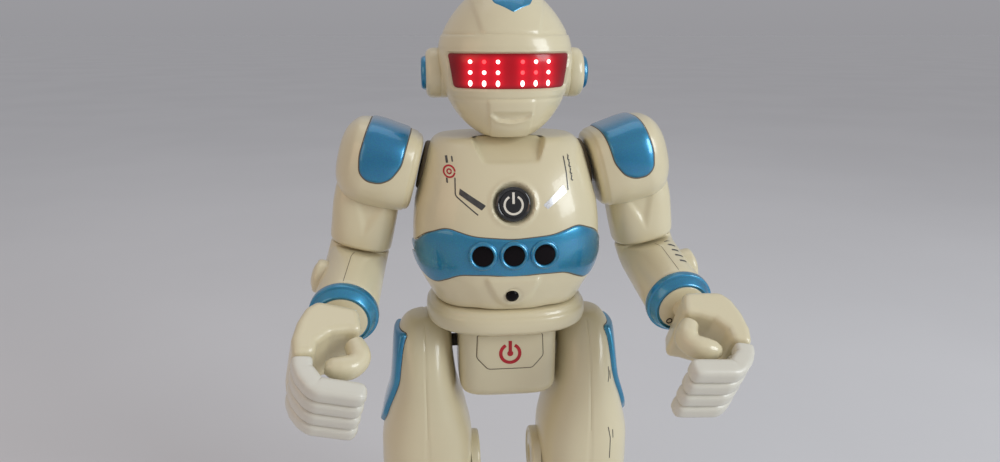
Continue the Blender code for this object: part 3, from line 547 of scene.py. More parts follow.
CREAM = surface("ivory_plastic", (0.685, 0.605, 0.405), (0.70, 0.625, 0.425), 14, 0.30, coat=0.4,
        grain=0.012, rough_spread=0.015)
# A paler copy of the cream plastic for the fingers: painted bounce light from below, not a
# different plastic.
CREAM_PAINTED_BOUNCE = surface("cream_painted_bounce_light", (0.67, 0.645, 0.555), (0.69, 0.665, 0.58), 20, 0.32, coat=0.2,
        grain=0.02, rough_spread=0.015)
PEARL = surface("pearl_blue", (0.018, 0.21, 0.40), (0.03, 0.27, 0.46), 18, 0.36, metallic=0.6,
        coat=1.0, grain=0.02, grain_scale=2600, flakes=0.25)
BLACK = surface("gloss_black", (0.006, 0.006, 0.007), (0.012, 0.012, 0.013), 90, 0.12, coat=0.6,
        grain=0.005)
SEAM = surface("panel_gap", (0.13, 0.10, 0.065), (0.16, 0.125, 0.08), 120, 0.6, grain=0.05)
DARK = surface("seam_shadow", (0.035, 0.026, 0.018), (0.05, 0.036, 0.025), 120, 0.7, grain=0.05)
CHARCOAL = surface("charcoal_print", (0.045, 0.043, 0.042), (0.07, 0.068, 0.066), 400, 0.35,
        grain=0.05)
SILVER = surface("silver_print", (0.55, 0.55, 0.56), (0.70, 0.70, 0.71), 300, 0.28, metallic=0.6,
        grain=0.03)
RED = surface("red_print", (0.40, 0.006, 0.014), (0.48, 0.008, 0.018), 300, 0.35, grain=0.03)
IVORY_PRINT = surface("ivory_print", (0.72, 0.68, 0.58), (0.78, 0.74, 0.65), 200, 0.3, grain=0.02)
GLASS_BLACK = surface("sensor_glass", (0.002, 0.0015, 0.002), (0.004, 0.002, 0.003), 120, 0.12,
        rough_spread=0.02, grain=0.0, specular=0.12)
STEEL = surface("bright_steel", (0.50, 0.50, 0.52), (0.62, 0.62, 0.64), 200, 0.28, metallic=1.0,
        grain=0.06)
TYRE = surface("tyre_rubber", (0.018, 0.018, 0.018), (0.03, 0.03, 0.03), 150, 0.75, grain=0.25)
GREEN = surface("circuit_board", (0.015, 0.12, 0.04), (0.03, 0.20, 0.07), 300, 0.45, grain=0.1)
GREY = surface("grey_plastic", (0.20, 0.21, 0.22), (0.26, 0.27, 0.28), 120, 0.45, grain=0.05)
CELL_BLUE = surface("battery_sleeve", (0.02, 0.07, 0.26), (0.03, 0.10, 0.34), 120, 0.35, grain=0.05)
LED = surface("led_white_hot", (1.0, 0.62, 0.60), (1.0, 0.70, 0.68), 300, 0.4, grain=0.0,
              emission=2.6)
LED_DIM = surface("led_dim", (1.0, 0.06, 0.07), (1.0, 0.10, 0.10), 300, 0.4, grain=0.0,
        emission=1.2)
VISOR_GLOW = glowing_visor()
SLOT_LOOKS = {"cream": CREAM, "pearl_blue": PEARL, "black": BLACK, "visor_red": VISOR_GLOW,
              "board_green": GREEN, "battery_blue": CELL_BLUE, "grey": GREY, "steel": STEEL,
              "tyre": TYRE}


def linked(name, data):
    obj = bpy.data.objects.new(name, data)
    bpy.context.scene.collection.objects.link(obj)
    return obj


def piece(name, mesh, look, body, nodes=(), sharp=SHARP):
    """Make one piece, in place, riding on a body and standing for the CAD nodes it covers."""
    data = bpy.data.meshes.new(name)
    points = (np.array(mesh[0], float) + SHIFT) * MM
    data.from_pydata([tuple(p) for p in points], [], [tuple(f) for f in mesh[1]])
    data.validate()
    data.materials.append(look)
    data.shade_smooth()
    data.set_sharp_from_angle(angle=sharp)
    obj = linked(name, data)
    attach(obj, body)
    if nodes:
        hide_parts(*nodes)
    return obj


def pair(name, mesh, look, body, nodes=(), sharp=SHARP):
    """The same piece on both sides; body and nodes are named without their side."""
    for side in SIDES:
        piece(f"{name}_{side}", sided(mesh, side), look, f"{body}_{side}",
              [f"{n}_{side}" for n in nodes], sharp)


def mark(name, outline, place, look, body, step=0.9):
    """Print on a surface."""
    return piece(name, film(outline, place, step=step), look, body)


def seam(name, outline, place, body, width=0.2):
    """The shadow gap round a plate."""
    return piece(name, film(grown(outline, width), place, 0.03, 1.5), SEAM, body)


for cad_node, cad_object in frame["nodes"].items():
    part_slot = next(s["material_slot"] for s in frame["record"]["subparts"]
            if s["node"] == cad_node)
    cad_object.data.materials.clear()
    # The hip axle takes the dark seam_shadow colour in place of its steel: painted shade between
    # the pelvis and the thighs.
    cad_object.data.materials.append(DARK if cad_node == "hip_axle" else SLOT_LOOKS[part_slot])


# --- head
def build_head():
    angles = even_angles(23, 23, 2.3, 230)
    base = rings(smoothed(HEAD_ROWS, 130), angles)
    normals = grid_normals(base)
    tree = solid_tree(closed_grid(base))
    front = from_front(tree)
    x, y, z = (base[..., k] for k in range(3))
    flat = np.stack([x, z], -1)
    ahead = y < -2
    window = rounded(VISOR, 1.5)
    shift = np.where(ahead, -1.6 * inside(distance(flat, window) + 0.1, 0.8), 0)
    shift += groove(z - 250.3, 0.4, 0.3) * inside(np.abs(y) - 21, 3) * (y < 3)
    shift += 0.22 * inside(np.abs(z - 247.8) - 2.2, 0.6) * (y < 1)
    shift += np.where(ahead, groove(z - 228.4, 0.4, 0.28) * inside(np.abs(x) - 21.5, 1.5), 0)
    shift += np.where(ahead, 0.45 * inside(distance(flat, rounded(LIP_PANEL, 0.6)), 0.9), 0)
    lips = distance(flat, rounded(SMILE, 1.2))
    shift += np.where(ahead, -0.95 * inside(lips, 0.8) * np.clip((225.2 - z) / 3.0, 0, 1), 0)
    shift += np.where(ahead & (z < 223.4), 0.3 * np.exp(-((lips - 0.7) / 0.45) ** 2), 0)
    crest = rounded(((-9.6, 250.4), (9.6, 250.4), (13.4, 263.5), (10.5, 271), (-10.5, 271),
            (-13.4, 263.5)), 1.5)
    shift += np.where(y < 2, 0.5 * inside(distance(flat, crest), 1.3) * inside(250.2 - z, 0.8), 0)
    shift += groove(y - 1.0, 0.4, 0.35) * (z > 262)
    shift += groove(y - 1.0, 0.4, 0.35) * (z < 227)
    piece("head_skin", closed_grid(base + normals * shift[..., None]), CREAM, "head",
          ["face_shell", "head_back_shell"])

    glass = plate(grown(window, -0.1), front, -0.55, edge=0.5, sink=1.1, step=0.7)
    visor = piece("visor_lens", glass, VISOR_GLOW, "head", ["visor"])
    glow = visor.data.attributes.new("glow", 'FLOAT', 'POINT')
    at = np.array(glass[0])[:, [0, 2]]
    dots = [(gx + dx, dz) for gx in (-9.5, 8.4) for dx in (-4.7, 0, 4.7)
            for dz in (241.2, 237.6, 233.9)]
    across = inside(np.abs(at[:, 0]) - 17.0, 7.0)
    amount = 0.05 + 0.30 * across
    for dot in dots:
        amount += 0.34 * np.exp(-(((at - dot) ** 2).sum(axis=1)) / 2.0 ** 2)
    amount *= 0.35 + 0.65 * inside(1.0 + distance(at, window), 1.6)
    glow.data.foreach_set("value", np.clip(amount, 0, 1).astype(np.float32))
    bright, dim = [], []
    for k, dot in enumerate(dots):
        stretch = 1.5 if k % 3 == 2 else 1.0
        shape = circle(dot, 0.72, 14)
        shape[:, 1] = dot[1] + (shape[:, 1] - dot[1]) * stretch
        lamp = film(shape, front, -0.45, 0.6)
        (dim if k in (3, 9, 10, 13) else bright).append(lamp)
    piece("display_dots", joined(*bright), LED, "head")
    piece("display_dots_dim", joined(*dim), LED_DIM, "head")

    crown = over_crown(tree, 245.0)
    reach = 24.0  # mm of crown for each radian
    tip, corner, flare, back = (reach * radians(a) for a in (30.6, 42.4, 51.0, 112.0))
    badge = rounded(((1.0, tip), (7.4, corner), (8.6, flare), (8.2, back), (-6.2, back),
            (-6.6, flare), (-5.4, corner)), 1.0)
    place = lambda points: crown(np.stack([points[:, 0], points[:, 1] / reach], 1))
    piece("crest_badge_seam", film(grown(badge, 0.2), place, 0.03, 1.5), SEAM, "head")
    piece("crest_badge_plate", plate(badge, place, 0.7, edge=0.9, sink=0.5, step=1.3), PEARL,
          "head", ["crest_badge"])

    y0, z0 = EAR
    drum = turned((19.0, y0, z0), (1, 0, 0), ((0, 8.8), (4.2, 9.0), (4.5, 8.8), (4.8, 9.0),
            (7.2, 9.0), (8.4, 8.75), (9.2, 8.2), (9.7, 7.4), (9.85, 6.7), (9.7, 6.45), (8.9, 6.4),
            (8.9, 0.5)))
    disc = turned((27.8, y0, z0), (1, 0, 0), ((0, 6.1), (1.4, 6.1), (2.1, 5.9), (2.6, 5.5),
            (2.75, 5.1), (2.4, 4.7), (2.4, 4.4), (2.6, 4.0), (2.8, 3.0), (2.85, 1.6), (2.9, 0.3)))
    for side in SIDES:
        piece(f"ear_drum_shell_{side}", sided(drum, side), CREAM, "head", [f"ear_drum_{side}"])
        piece(f"ear_disc_cap_{side}", sided(disc, side), PEARL, "head", [f"ear_disc_{side}"])


# --- torso
def button_axis():
    return np.array([0, cos(BUTTON_LEAN), -sin(BUTTON_LEAN)])


def on_button(points):
    """Puts flat (x, up) points on the button's face, which leans back."""
    up = np.array([0, sin(BUTTON_LEAN), cos(BUTTON_LEAN)])
    face = BUTTON_CENTRE - button_axis() * 0.5
    places = face + points[:, :1] * np.array([1, 0, 0]) + points[:, 1:] * up
    return places, np.tile(-button_axis(), (len(points), 1))


def build_torso():
    angles = even_angles(34, 29, 2.7, 300)
    base = rings(smoothed(CHEST_ROWS, 130), angles)
    normals = grid_normals(base)
    tree = solid_tree(closed_grid(base))
    front, back = from_front(tree), from_back(tree)
    x, y, z = (base[..., k] for k in range(3))
    flat = np.stack([x, z], -1)
    ahead = y < 0
    shift = np.zeros(x.shape)
    bib = rounded(((-9.4, 170), (9.4, 170), (8.6, 165.5), (5.2, 158.6), (2.4, 156.4), (-2.4, 156.4),
            (-5.2, 158.6), (-8.6, 165.5)), 1.6)
    flank = 2.2 + np.clip(166 - z, 0, 8) * 0.15
    shift += np.where(ahead, 1.15 * inside(distance(flat, bib) - 0.6, flank)
            * inside(z - 166.9, 1.4), 0)
    valley = np.abs(np.abs(x) - (15 + (z - 156) * 0.5))
    shift += np.where(ahead, -0.5 * np.exp(-(valley / 4.5) ** 2) * inside(z - 166, 6), 0)
    radius = np.hypot(x, (z - BUTTON_CENTRE[2]) / cos(BUTTON_LEAN))
    shift += np.where(ahead, groove(radius - 6.7, 0.45, 0.9) + 0.45
            * np.exp(-((radius - 7.9) / 0.7) ** 2), 0)
    shift += np.where(ahead, -2.8 * inside(radius - 6.3, 0.9), 0)
    shift += np.where(ahead, groove(np.hypot(x, z - IR_Z) - 2.8, 0.3, 0.35), 0)
    shift += np.where(~ahead, groove(distance(flat, rounded(DOOR, 1.5)), 0.4, 0.5), 0)
    socket = np.hypot(x - 9.0, z - 158.6)
    shift += np.where(~ahead, -1.5 * inside(socket - 3.3, 0.7), 0)
    slot_gap = np.maximum(np.abs(x + 9.0) - 4.6, np.abs(z - 158.6) - 2.2)
    shift += np.where(~ahead, -1.3 * inside(slot_gap, 0.7), 0)
    grid = base + normals * shift[..., None]
    notch = inside(distance(flat, rounded(COLLAR, 1.2)), 1.0) * ahead
    floor_y = -22.9 + (z - 206.6) * 1.7
    grid[..., 1] += notch * np.maximum(floor_y - grid[..., 1], 0)
    piece("chest_skin", closed_grid(grid), CREAM, "torso",
          ["chest_front_shell", "chest_back_shell", "neck_collar"])
    for side, sign in (("right", -1), ("left", 1)):
        start = np.array(SHOULDER) * (sign, 1, 1) + np.array([-sign * 4.0, 0, -1.0])
        boss_ring = turned(start, (sign * cos(SHOULDER_LEAN), 0, sin(SHOULDER_LEAN)),
                ((0, 9.5), (2.6, 9.2), (3.2, 8.6), (3.3, 7.0)), 40)
        piece(f"shoulder_bearing_{side}", boss_ring, SEAM, "torso")

    band = rounded(BAND, 2.6)
    seam("chest_band_seam", band, front, "torso")
    piece("chest_band_plate", plate(band, front, 0.55, edge=0.9, sink=0.5, step=1.3, crown=0.25),
          PEARL, "torso", ["chest_band"])
    for centre_x, place_name in SENSORS:
        hits, normals = front(np.array([(centre_x, SENSOR_Z)]))
        bezel = turned(hits[0], normals[0], ((0, 5.3), (0.75, 5.3), (1.2, 5.1), (1.6, 4.75),
                (1.75, 4.4), (1.65, 4.05), (1.35, 3.8), (0.95, 3.7), (0.9, 3.6)))
        piece(f"sensor_bezel_{place_name}", bezel, PEARL, "torso")
        lens = turned(hits[0], normals[0], ((0.2, 3.72), (1.0, 3.72), (1.06, 3.4), (1.1, 2.4),
                (1.12, 1.0), (1.13, 0.1)))
        piece(f"sensor_dome_{place_name}", lens, GLASS_BLACK, "torso",
              [f"sensor_lens_{place_name}"])
    hits, normals = front(np.array([(-0.4, IR_Z)]))
    dome = turned(hits[0] + normals[0] * 0.9, normals[0], ((-1.0, 2.35), (0.5, 2.35), (0.9, 2.1),
            (1.25, 1.5), (1.4, 0.7), (1.42, 0.05)))
    piece("ir_window_dome", dome, GLASS_BLACK, "torso", ["ir_window"])

    door = rounded(grown(rounded(DOOR, 1.5), -0.5), 0.1)
    piece("battery_door_plate", plate(door, back, 0.15, edge=0.5, sink=0.4, step=1.8), CREAM,
          "torso", ["battery_door"])
    lines = [plate(stroke(resampled(((-7, z0), (7, z0)), 0.8, False), 0.8), back, 0.45, edge=0.3,
            sink=0.3, step=1) for z0 in (193.0, 195.2, 197.4)]
    piece("door_grip_ribs", joined(*lines), CREAM, "torso")
    hit, _ = back(np.array([(0.0, 168.6)]))
    piece("door_screw", screw_head((0, hit[0][1] - 0.1, 168.6), (0, 1, 0), 2.1), STEEL, "torso")

    skirt = rings(smoothed(SKIRT_ROWS, 50), even_angles(30, 27, 2.6, 220))
    sx, sy, sz = (skirt[..., k] for k in range(3))
    room = np.sqrt(np.maximum(15.4 ** 2 - sy ** 2, 0)) + HIP_Z
    beside = inside(19.2 - np.abs(sx), 1.2)
    lift = np.where(np.abs(sy) < 15.3, np.maximum(room - sz, 0), 0) * beside
    skirt[..., 2] += np.minimum(lift, 4.5)
    tuck = grid_normals(skirt) * groove(sz - 150.9, 0.6, 0.25)[..., None]
    piece("waist_skirt_skin", closed_grid(skirt + tuck), CREAM, "torso", ["waist_skirt"])

    pelvis = rings(smoothed(PELVIS_ROWS, 60), even_angles(19, 19.5, 4.4, 180))
    pelvis_tree = solid_tree(closed_grid(pelvis))
    pelvis_front = from_front(pelvis_tree)
    piece("pelvis_skin", closed_grid(pelvis), CREAM, "torso", ["pelvis_shell"])
    shield = rounded(SHIELD, 1.0)
    seam("pelvis_plate_seam", shield, pelvis_front, "torso", 0.25)
    piece("pelvis_plate_cover", plate(shield, pelvis_front, 0.3, edge=0.5, sink=0.3, step=1.4),
          CREAM, "torso", ["pelvis_plate"])
    ring = joined(film(stroke(arc(MARK_CENTRE, 3.6, 118, 422, 44), 1.3), pelvis_front, 0.36, 0.7),
                  film(stroke(resampled(((0, 134.2), (0, 139.0)), 0.6, False), 1.3), pelvis_front,
            0.36, 0.7))
    dot = film(circle(MARK_CENTRE, 1.15, 20), pelvis_front, 0.36, 0.6)
    piece("pelvis_mark", joined(ring, dot), RED, "torso")
    build_prints(front)


def screw_head(centre, direction, radius):
    """A small pan-head screw."""
    profile = ((-0.6, radius), (0.25, radius), (0.55, radius * 0.86), (0.7, radius * 0.55),
               (0.55, radius * 0.3), (0.1, radius * 0.22), (0.05, 0.02))
    return turned(centre, direction, profile, 24)


def build_prints(front):
    """The chest's printed marks: plain lines, bars and a target."""
    target = (-21.7, 203.7)
    ring = stroke(arc(target, 1.9, 0, 352, 40), 0.58)
    mark("print_target_ring", ring, front, RED, "torso", step=0.6)
    mark("print_target_inner", stroke(arc(target, 0.72, 0, 350, 30), 0.5), front, RED, "torso",
         step=0.5)
    dark = [stroke(rounded(((-19.8, 201.8), (-19.9, 196.0), (-12.3, 189.7)), 0.9, closed=False),
            0.42), resampled(((-18.3, 198.4), (-9.5, 192.9), (-11.0, 191.3), (-18.6, 196.4)), 0.5),
            resampled(((-23.0, 208.6), (-22.2, 208.8), (-21.9, 206.4), (-22.7, 206.3)), 0.4),
            resampled(((-20.9, 208.6), (-20.4, 208.7), (-20.2, 206.9), (-20.7, 206.8)), 0.4),
            resampled(((-22.9, 201.6), (-22.3, 201.6), (-22.2, 199.9), (-22.8, 199.9)), 0.4),
            stroke(rounded(((19.0, 208.2), (19.6, 203.0), (19.9, 197.0)), 1, closed=False), 0.42)]
    for k in range(4):
        z0 = 207.6 - 2.2 * k
        dark.append(resampled(((20.5 + 0.25 * k, z0 + 1.2), (21.2 + 0.25 * k, z0 + 0.6),
                (20.9 + 0.25 * k, z0 - 0.5), (21.6 + 0.25 * k, z0 - 1.0),
                (21.1 + 0.25 * k, z0 - 1.2), (20.4 + 0.25 * k, z0 - 0.6),
                (20.7 + 0.25 * k, z0 + 0.5)), 0.35))
    piece("print_dark_lines", joined(*[film(o, front, 0.06, 0.6) for o in dark]), CHARCOAL, "torso")
    silver = resampled(((18.1, 198.8), (19.4, 196.6), (12.2, 191.2), (10.5, 192.6)), 0.5)
    mark("print_silver_bar", silver, front, SILVER, "torso")


def build_controls():
    axis = button_axis()
    face = BUTTON_CENTRE - axis * 0.5
    profile = ((7, 6.0), (2.4, 6.0), (0.5, 6.1), (0.15, 6.0), (0.0, 5.6), (0.35, 5.2), (0.4, 4.9),
               (0.0, 4.7), (0.0, 0.2))
    piece("power_button_cap", turned(face, axis, profile), BLACK, "button", ["power_button"],
          radians(60))
    ring = stroke(arc((0, -0.3), 3.15, 118, 422, 48), 0.75)
    bar = resampled(((-0.42, 0.1), (0.42, 0.1), (0.42, 4.1), (-0.42, 4.1)), 0.4)
    piece("power_symbol", joined(film(ring, on_button, 0.06, 0.6), film(bar, on_button, 0.06, 0.6)),
          IVORY_PRINT, "button")


# --- arms
def arm_frame():
    return Matrix.Translation(SHOULDER) @ Matrix.Rotation(-SHOULDER_LEAN, 4, 'Y')


def forearm_frame():
    return arm_frame() @ Matrix.Translation((ARM_AXIS_OUT, 0, ELBOW_DROP))


def forearm_line():
    start = Vector((0, -ELBOW_TURN * (1 - cos(ELBOW_BEND)), -ELBOW_TURN * sin(ELBOW_BEND)))
    return start, Vector((0, -sin(ELBOW_BEND), -cos(ELBOW_BEND)))


def wrist_frame(side):
    start, along = forearm_line()
    return (forearm_frame() @ Matrix.Translation(start + along * FOREARM_END)
            @ Matrix.Rotation(-(pi / 2 + ELBOW_BEND), 4, 'X')
            @ Matrix.Rotation(HAND_TURN[side], 4, 'Y'))


def build_shoulder():
    rows = smoothed([(r[0], 0, r[3], r[1], r[2], r[4]) for r in PAD_ROWS], 90)
    angles = even_angles(18, 15, 3.0, 180)
    c, s = np.cos(angles), np.sin(angles)
    power = rows[:, 5, None]
    deep = rows[:, 2, None] * bulge(c, power)
    tall = (rows[:, 3, None] + rows[:, 4, None]) / 2 + (rows[:, 4, None]
            - rows[:, 3, None]) / 2 * bulge(s, power)
    base = np.stack([np.broadcast_to(rows[:, 0, None], deep.shape), deep, tall], -1)
    tree = solid_tree(closed_grid(base))
    lip = grid_normals(base) * groove(base[..., 0] - 1.9, 0.5, 0.35)[..., None]
    pair("shoulder_shell", moved(closed_grid(base + lip), arm_frame()), CREAM, "arm",
         ["shoulder_pad"])

    def wrap(points):
        """(out, length round the pad from its top) onto the pad's skin."""
        turn = points[:, 1] / PAD_WRAP
        origins = np.stack([points[:, 0], np.zeros(len(points)), np.full(len(points), -3.0)], 1)
        return cast(tree, origins, np.stack([np.zeros(len(points)), -np.sin(turn), np.cos(turn)],
                1))

    low = PAD_WRAP * radians(104.5)
    half = ((5.4, 6.0), (6.2, low - 6.5), (8.8, low - 2.2), (12.4, low - 0.4), (17.0, low - 0.2),
            (20.2, low - 2.0), (21.4, low - 7.0), (20.4, 8.0))
    outline = rounded(half + tuple((out, -run) for out, run in reversed(half)), 1.6)
    rim = film(grown(outline, 0.2), wrap, 0.03, 1.6)
    pair("shoulder_panel_seam", moved(rim, arm_frame()), SEAM, "arm")
    panel = plate(outline, wrap, 0.5, edge=1.0, sink=0.5, step=1.3, crown=0.2)
    pair("shoulder_panel_plate", moved(panel, arm_frame()), PEARL, "arm", ["shoulder_panel"])


def build_upper_arm():
    rows = np.array(((-12.5, 1.4, 10.8, -10.0, 10.0, 3.0), (-13.0, 1.4, 12.0, -11.3, 11.3, 3.0),
            (-19.0, 1.2, 12.2, -11.9, 11.9, 3.0), (-28.0, 0.5, 11.9, -12.2, 12.2, 2.8),
            (-33.4, 0.1, 11.6, -11.9, 11.9, 2.5), (-34.6, 0, 10.9, -11.2, 11.2, 2.4),
            (-34.9, 0, 9.8, -10.0, 10.0, 2.4)))[::-1]
    grid = rings(smoothed(rows, 70), even_angles(11.6, 12, 2.8, 120))
    x, y, z = (grid[..., k] for k in range(3))
    notch = np.abs(x + 0.4) - 3.6 * np.clip((z + 27.0) / 8.5, -0.4, 1.2)
    shift = np.where(y < 0, -0.85 * inside(notch, 3.2), 0)
    grid = grid + grid_normals(grid) * shift[..., None] + np.array([ARM_AXIS_OUT, 0, 0])
    pair("upper_arm_skin", moved(closed_grid(grid), arm_frame()), CREAM, "arm", ["upper_arm"])


def build_forearm():
    start, along = forearm_line()
    stations = []
    for step in range(25):
        angle = ELBOW_BEND * step / 24
        centre = Vector((0, -ELBOW_TURN * (1 - cos(angle)), -ELBOW_TURN * sin(angle)))
        ease = 1.2 * max(0, 1 - step / 3) ** 2
        stations.append((centre, angle, FOREARM_RADIUS - ease, ELBOW_TURN - 0.7 - ease * 0.5))
    for far, radius in ((1.5, 0), (3, 0), (5.5, 0), (8, 0), (11, 0), (14, 0), (20, 0), (26.4, 0),
            (27.4, -0.15), (28.1, -0.5), (28.4, -1.2), (28.5, -2.4), (28.8, -2.6), (34.7, -2.7),
            (35.0, -3.1)):
        pinch = np.interp(far, (0, 3, 8, 14), (7.3, 8.2, 10.2, 20))
        stations.append((start + along * far, ELBOW_BEND, FOREARM_RADIUS + radius, pinch))
    angles = np.linspace(0, 2 * pi, 72, endpoint=False)
    grid = []
    for centre, angle, radius, pinch in stations:
        inner = np.array([0, -cos(angle), sin(angle)])
        height = radius * np.sin(angles)
        over = height > pinch - 1.2
        height = np.where(over, pinch - 1.2 + 1.2 * np.tanh((height - pinch + 1.2) / 1.2), height)
        ring = np.array(centre) + np.outer(radius * np.cos(angles), (1, 0, 0)) + np.outer(height,
                inner)
        grid.append(ring[::-1])
    base = closed_grid(np.array(grid))
    pair("forearm_skin", moved(base, forearm_frame()), CREAM, "forearm", ["forearm"], radians(45))
    cap = turned((8.6, -16.5, -10.8), (1, 0, 0), ((0, 6.2), (3.4, 6.2), (4.2, 6.0), (4.7, 5.5),
            (4.6, 5.1), (4.9, 4.7), (5.5, 3.6), (5.9, 2.0), (6.0, 0.2)), 48)
    pair("elbow_cap_dome", moved(cap, forearm_frame()), CREAM, "forearm", ["elbow_cap"])
    first, last = CUFF_START + 0.3, FOREARM_END
    ring = turned(start, along, ((first, 9.2), (first, 11.2), (first + 0.3, 11.7),
            (first + 0.9, 12.0), (last - 3.5, 12.0), (last - 3.15, 11.9), (last - 2.95, 11.6),
            (last - 2.85, 11.15), (last - 2.6, 11.05), (last - 0.4, 9.95), (last - 0.1, 9.7),
            (last, 9.45), (last - 0.1, 9.25), (last - 0.6, 9.2)), 80)
    pair("cuff_ring_band", moved(ring, forearm_frame()), PEARL, "forearm", ["cuff_ring"])
    below = Vector((0, cos(ELBOW_BEND), -sin(ELBOW_BEND)))
    end = start + along * (FOREARM_END + 0.05) + Vector((-5.4, 0, 0)) + below * 4.0
    screw = turned(end, along, ((-0.8, 1.15), (0.12, 1.15), (0.16, 0.8), (-0.3, 0.7),
            (-0.35, 0.05)), 20)
    pair("cuff_screw", moved(screw, forearm_frame()), DARK, "forearm")
    tree = solid_tree(moved(base, forearm_frame()))
    top = facing(tree, 2, 1)
    line = stroke(resampled(((56.7, -13.0), (58.9, -35.4)), 0.8, False), 0.22)
    pair("forearm_seam", film(line, top, 0.03, 1), SEAM, "forearm")
    bars = []
    for k in range(5):
        x, y = 61.6 + 0.35 * k, -12.5 - 3.6 * k
        wide = 1.5 + 0.25 * (k % 2)
        bar = resampled(((x - wide, y - 1.9), (x + wide, y - 0.6), (x + wide, y + 0.5),
                (x - wide, y - 0.8)), 0.4)
        bars.append(film(bar, top, 0.05, 0.6))
    piece("forearm_print", joined(*bars), CHARCOAL, "forearm_left")


# --- hands
def finger(low, high):
    """One curled finger in the hand's frame, between two levels across the hand."""
    path = rounded(((9.0, 25.9), (8.1, 29.8), (3.0, 35.0), (-12.3, 34.3)), 1.0, 0.5, closed=False)
    run = np.linspace(0, 1, len(path))
    tangent = unit(np.gradient(path, axis=0))
    middle, half = (low + high) / 2, (high - low) / 2
    creases = [np.argmin(np.linalg.norm(path - p, axis=1)) / (len(path) - 1)
               for p in ((8.1, 29.8), (3.2, 34.8))]
    stations = []
    for point, way, share in zip(path, tangent, run):
        pinch = 1 - 0.10 * sum(np.exp(-((share - c) / 0.035) ** 2) for c in creases)
        pinch *= 1 - 0.25 * max(0, (share - 0.86) / 0.14) ** 2
        ends = np.sqrt(max(1 - max(0, (share - 0.93) / 0.07) ** 2 * 0.85, 0.05))
        ends *= np.sqrt(max(1 - max(0, (0.03 - share) / 0.03) ** 2 * 0.5, 0.05))
        outward = (way[1], -way[0], 0)
        stations.append(((point[0], point[1], middle), outward, (0, 0, 1), 3.2 * pinch * ends,
                half * 0.97 * (0.5 + 0.5 * pinch) * ends))
    return sweep(stations, superellipse(4.2, 26))


def thumb():
    path = rounded(THUMB_PATH, 2.5, 0.7, closed=False)
    run = np.linspace(0, 1, len(path))
    tangent = unit(np.gradient(path, axis=0))
    stations = []
    for point, way, share in zip(path, tangent, run):
        radius = np.interp(share, (0, 0.1, 0.3, 0.45, 0.6, 0.75, 0.9, 1),
                (3.1, 3.4, 3.8, 3.4, 3.6, 3.5, 2.9, 1.7))
        stations.append(((point[0], point[1], -8.0), (way[1], -way[0], 0), (0, 0, 1), radius,
                radius * 1.12))
    return sweep(stations, superellipse(2.3, 28))


def softened(node, voxel, rounds):
    """A CAD piece's mesh with every edge rounded, in the robot's frame in mm."""
    data = frame["nodes"][node].data.copy()
    obj = linked("softening", data)
    remesh = obj.modifiers.new("remesh", 'REMESH')
    remesh.mode = 'VOXEL'
    remesh.voxel_size = voxel * MM
    smooth = obj.modifiers.new("smooth", 'SMOOTH')
    smooth.iterations = rounds
    bpy.context.view_layer.update()
    finished = obj.evaluated_get(bpy.context.evaluated_depsgraph_get())
    result = bpy.data.meshes.new_from_object(finished)
    points = [tuple(np.array(v.co) / MM - SHIFT) for v in result.vertices]
    faces = [tuple(p.vertices) for p in result.polygons]
    bpy.data.objects.remove(obj)
    bpy.data.meshes.remove(result)
    return points, faces


def build_hands():
    pitch = 2 * HAND_HALF / 4
    for side in SIDES:
        place = wrist_frame(side) @ Matrix.Rotation(HAND_DROP, 4, 'X')
        piece(f"palm_skin_{side}", softened(f"palm_{side}", 0.45, 5), CREAM, f"hand_{side}",
              [f"palm_{side}"], radians(60))
        fingers = joined(*[finger(-HAND_HALF + k * pitch, -HAND_HALF + (k + 1) * pitch)
                for k in range(4)])
        # The fingers take the paler copy of the cream: painted bounce light from below.
        piece(f"fingers_skin_{side}", sided(moved(fingers, place), side), CREAM_PAINTED_BOUNCE, f"hand_{side}",
              [f"fingers_{side}"], radians(60))
        piece(f"thumb_skin_{side}", sided(moved(thumb(), place), side), CREAM, f"hand_{side}",
              [f"thumb_{side}"], radians(60))


# --- legs
WHEEL_Y = 12.0
WHEEL_RADIUS = 9.5


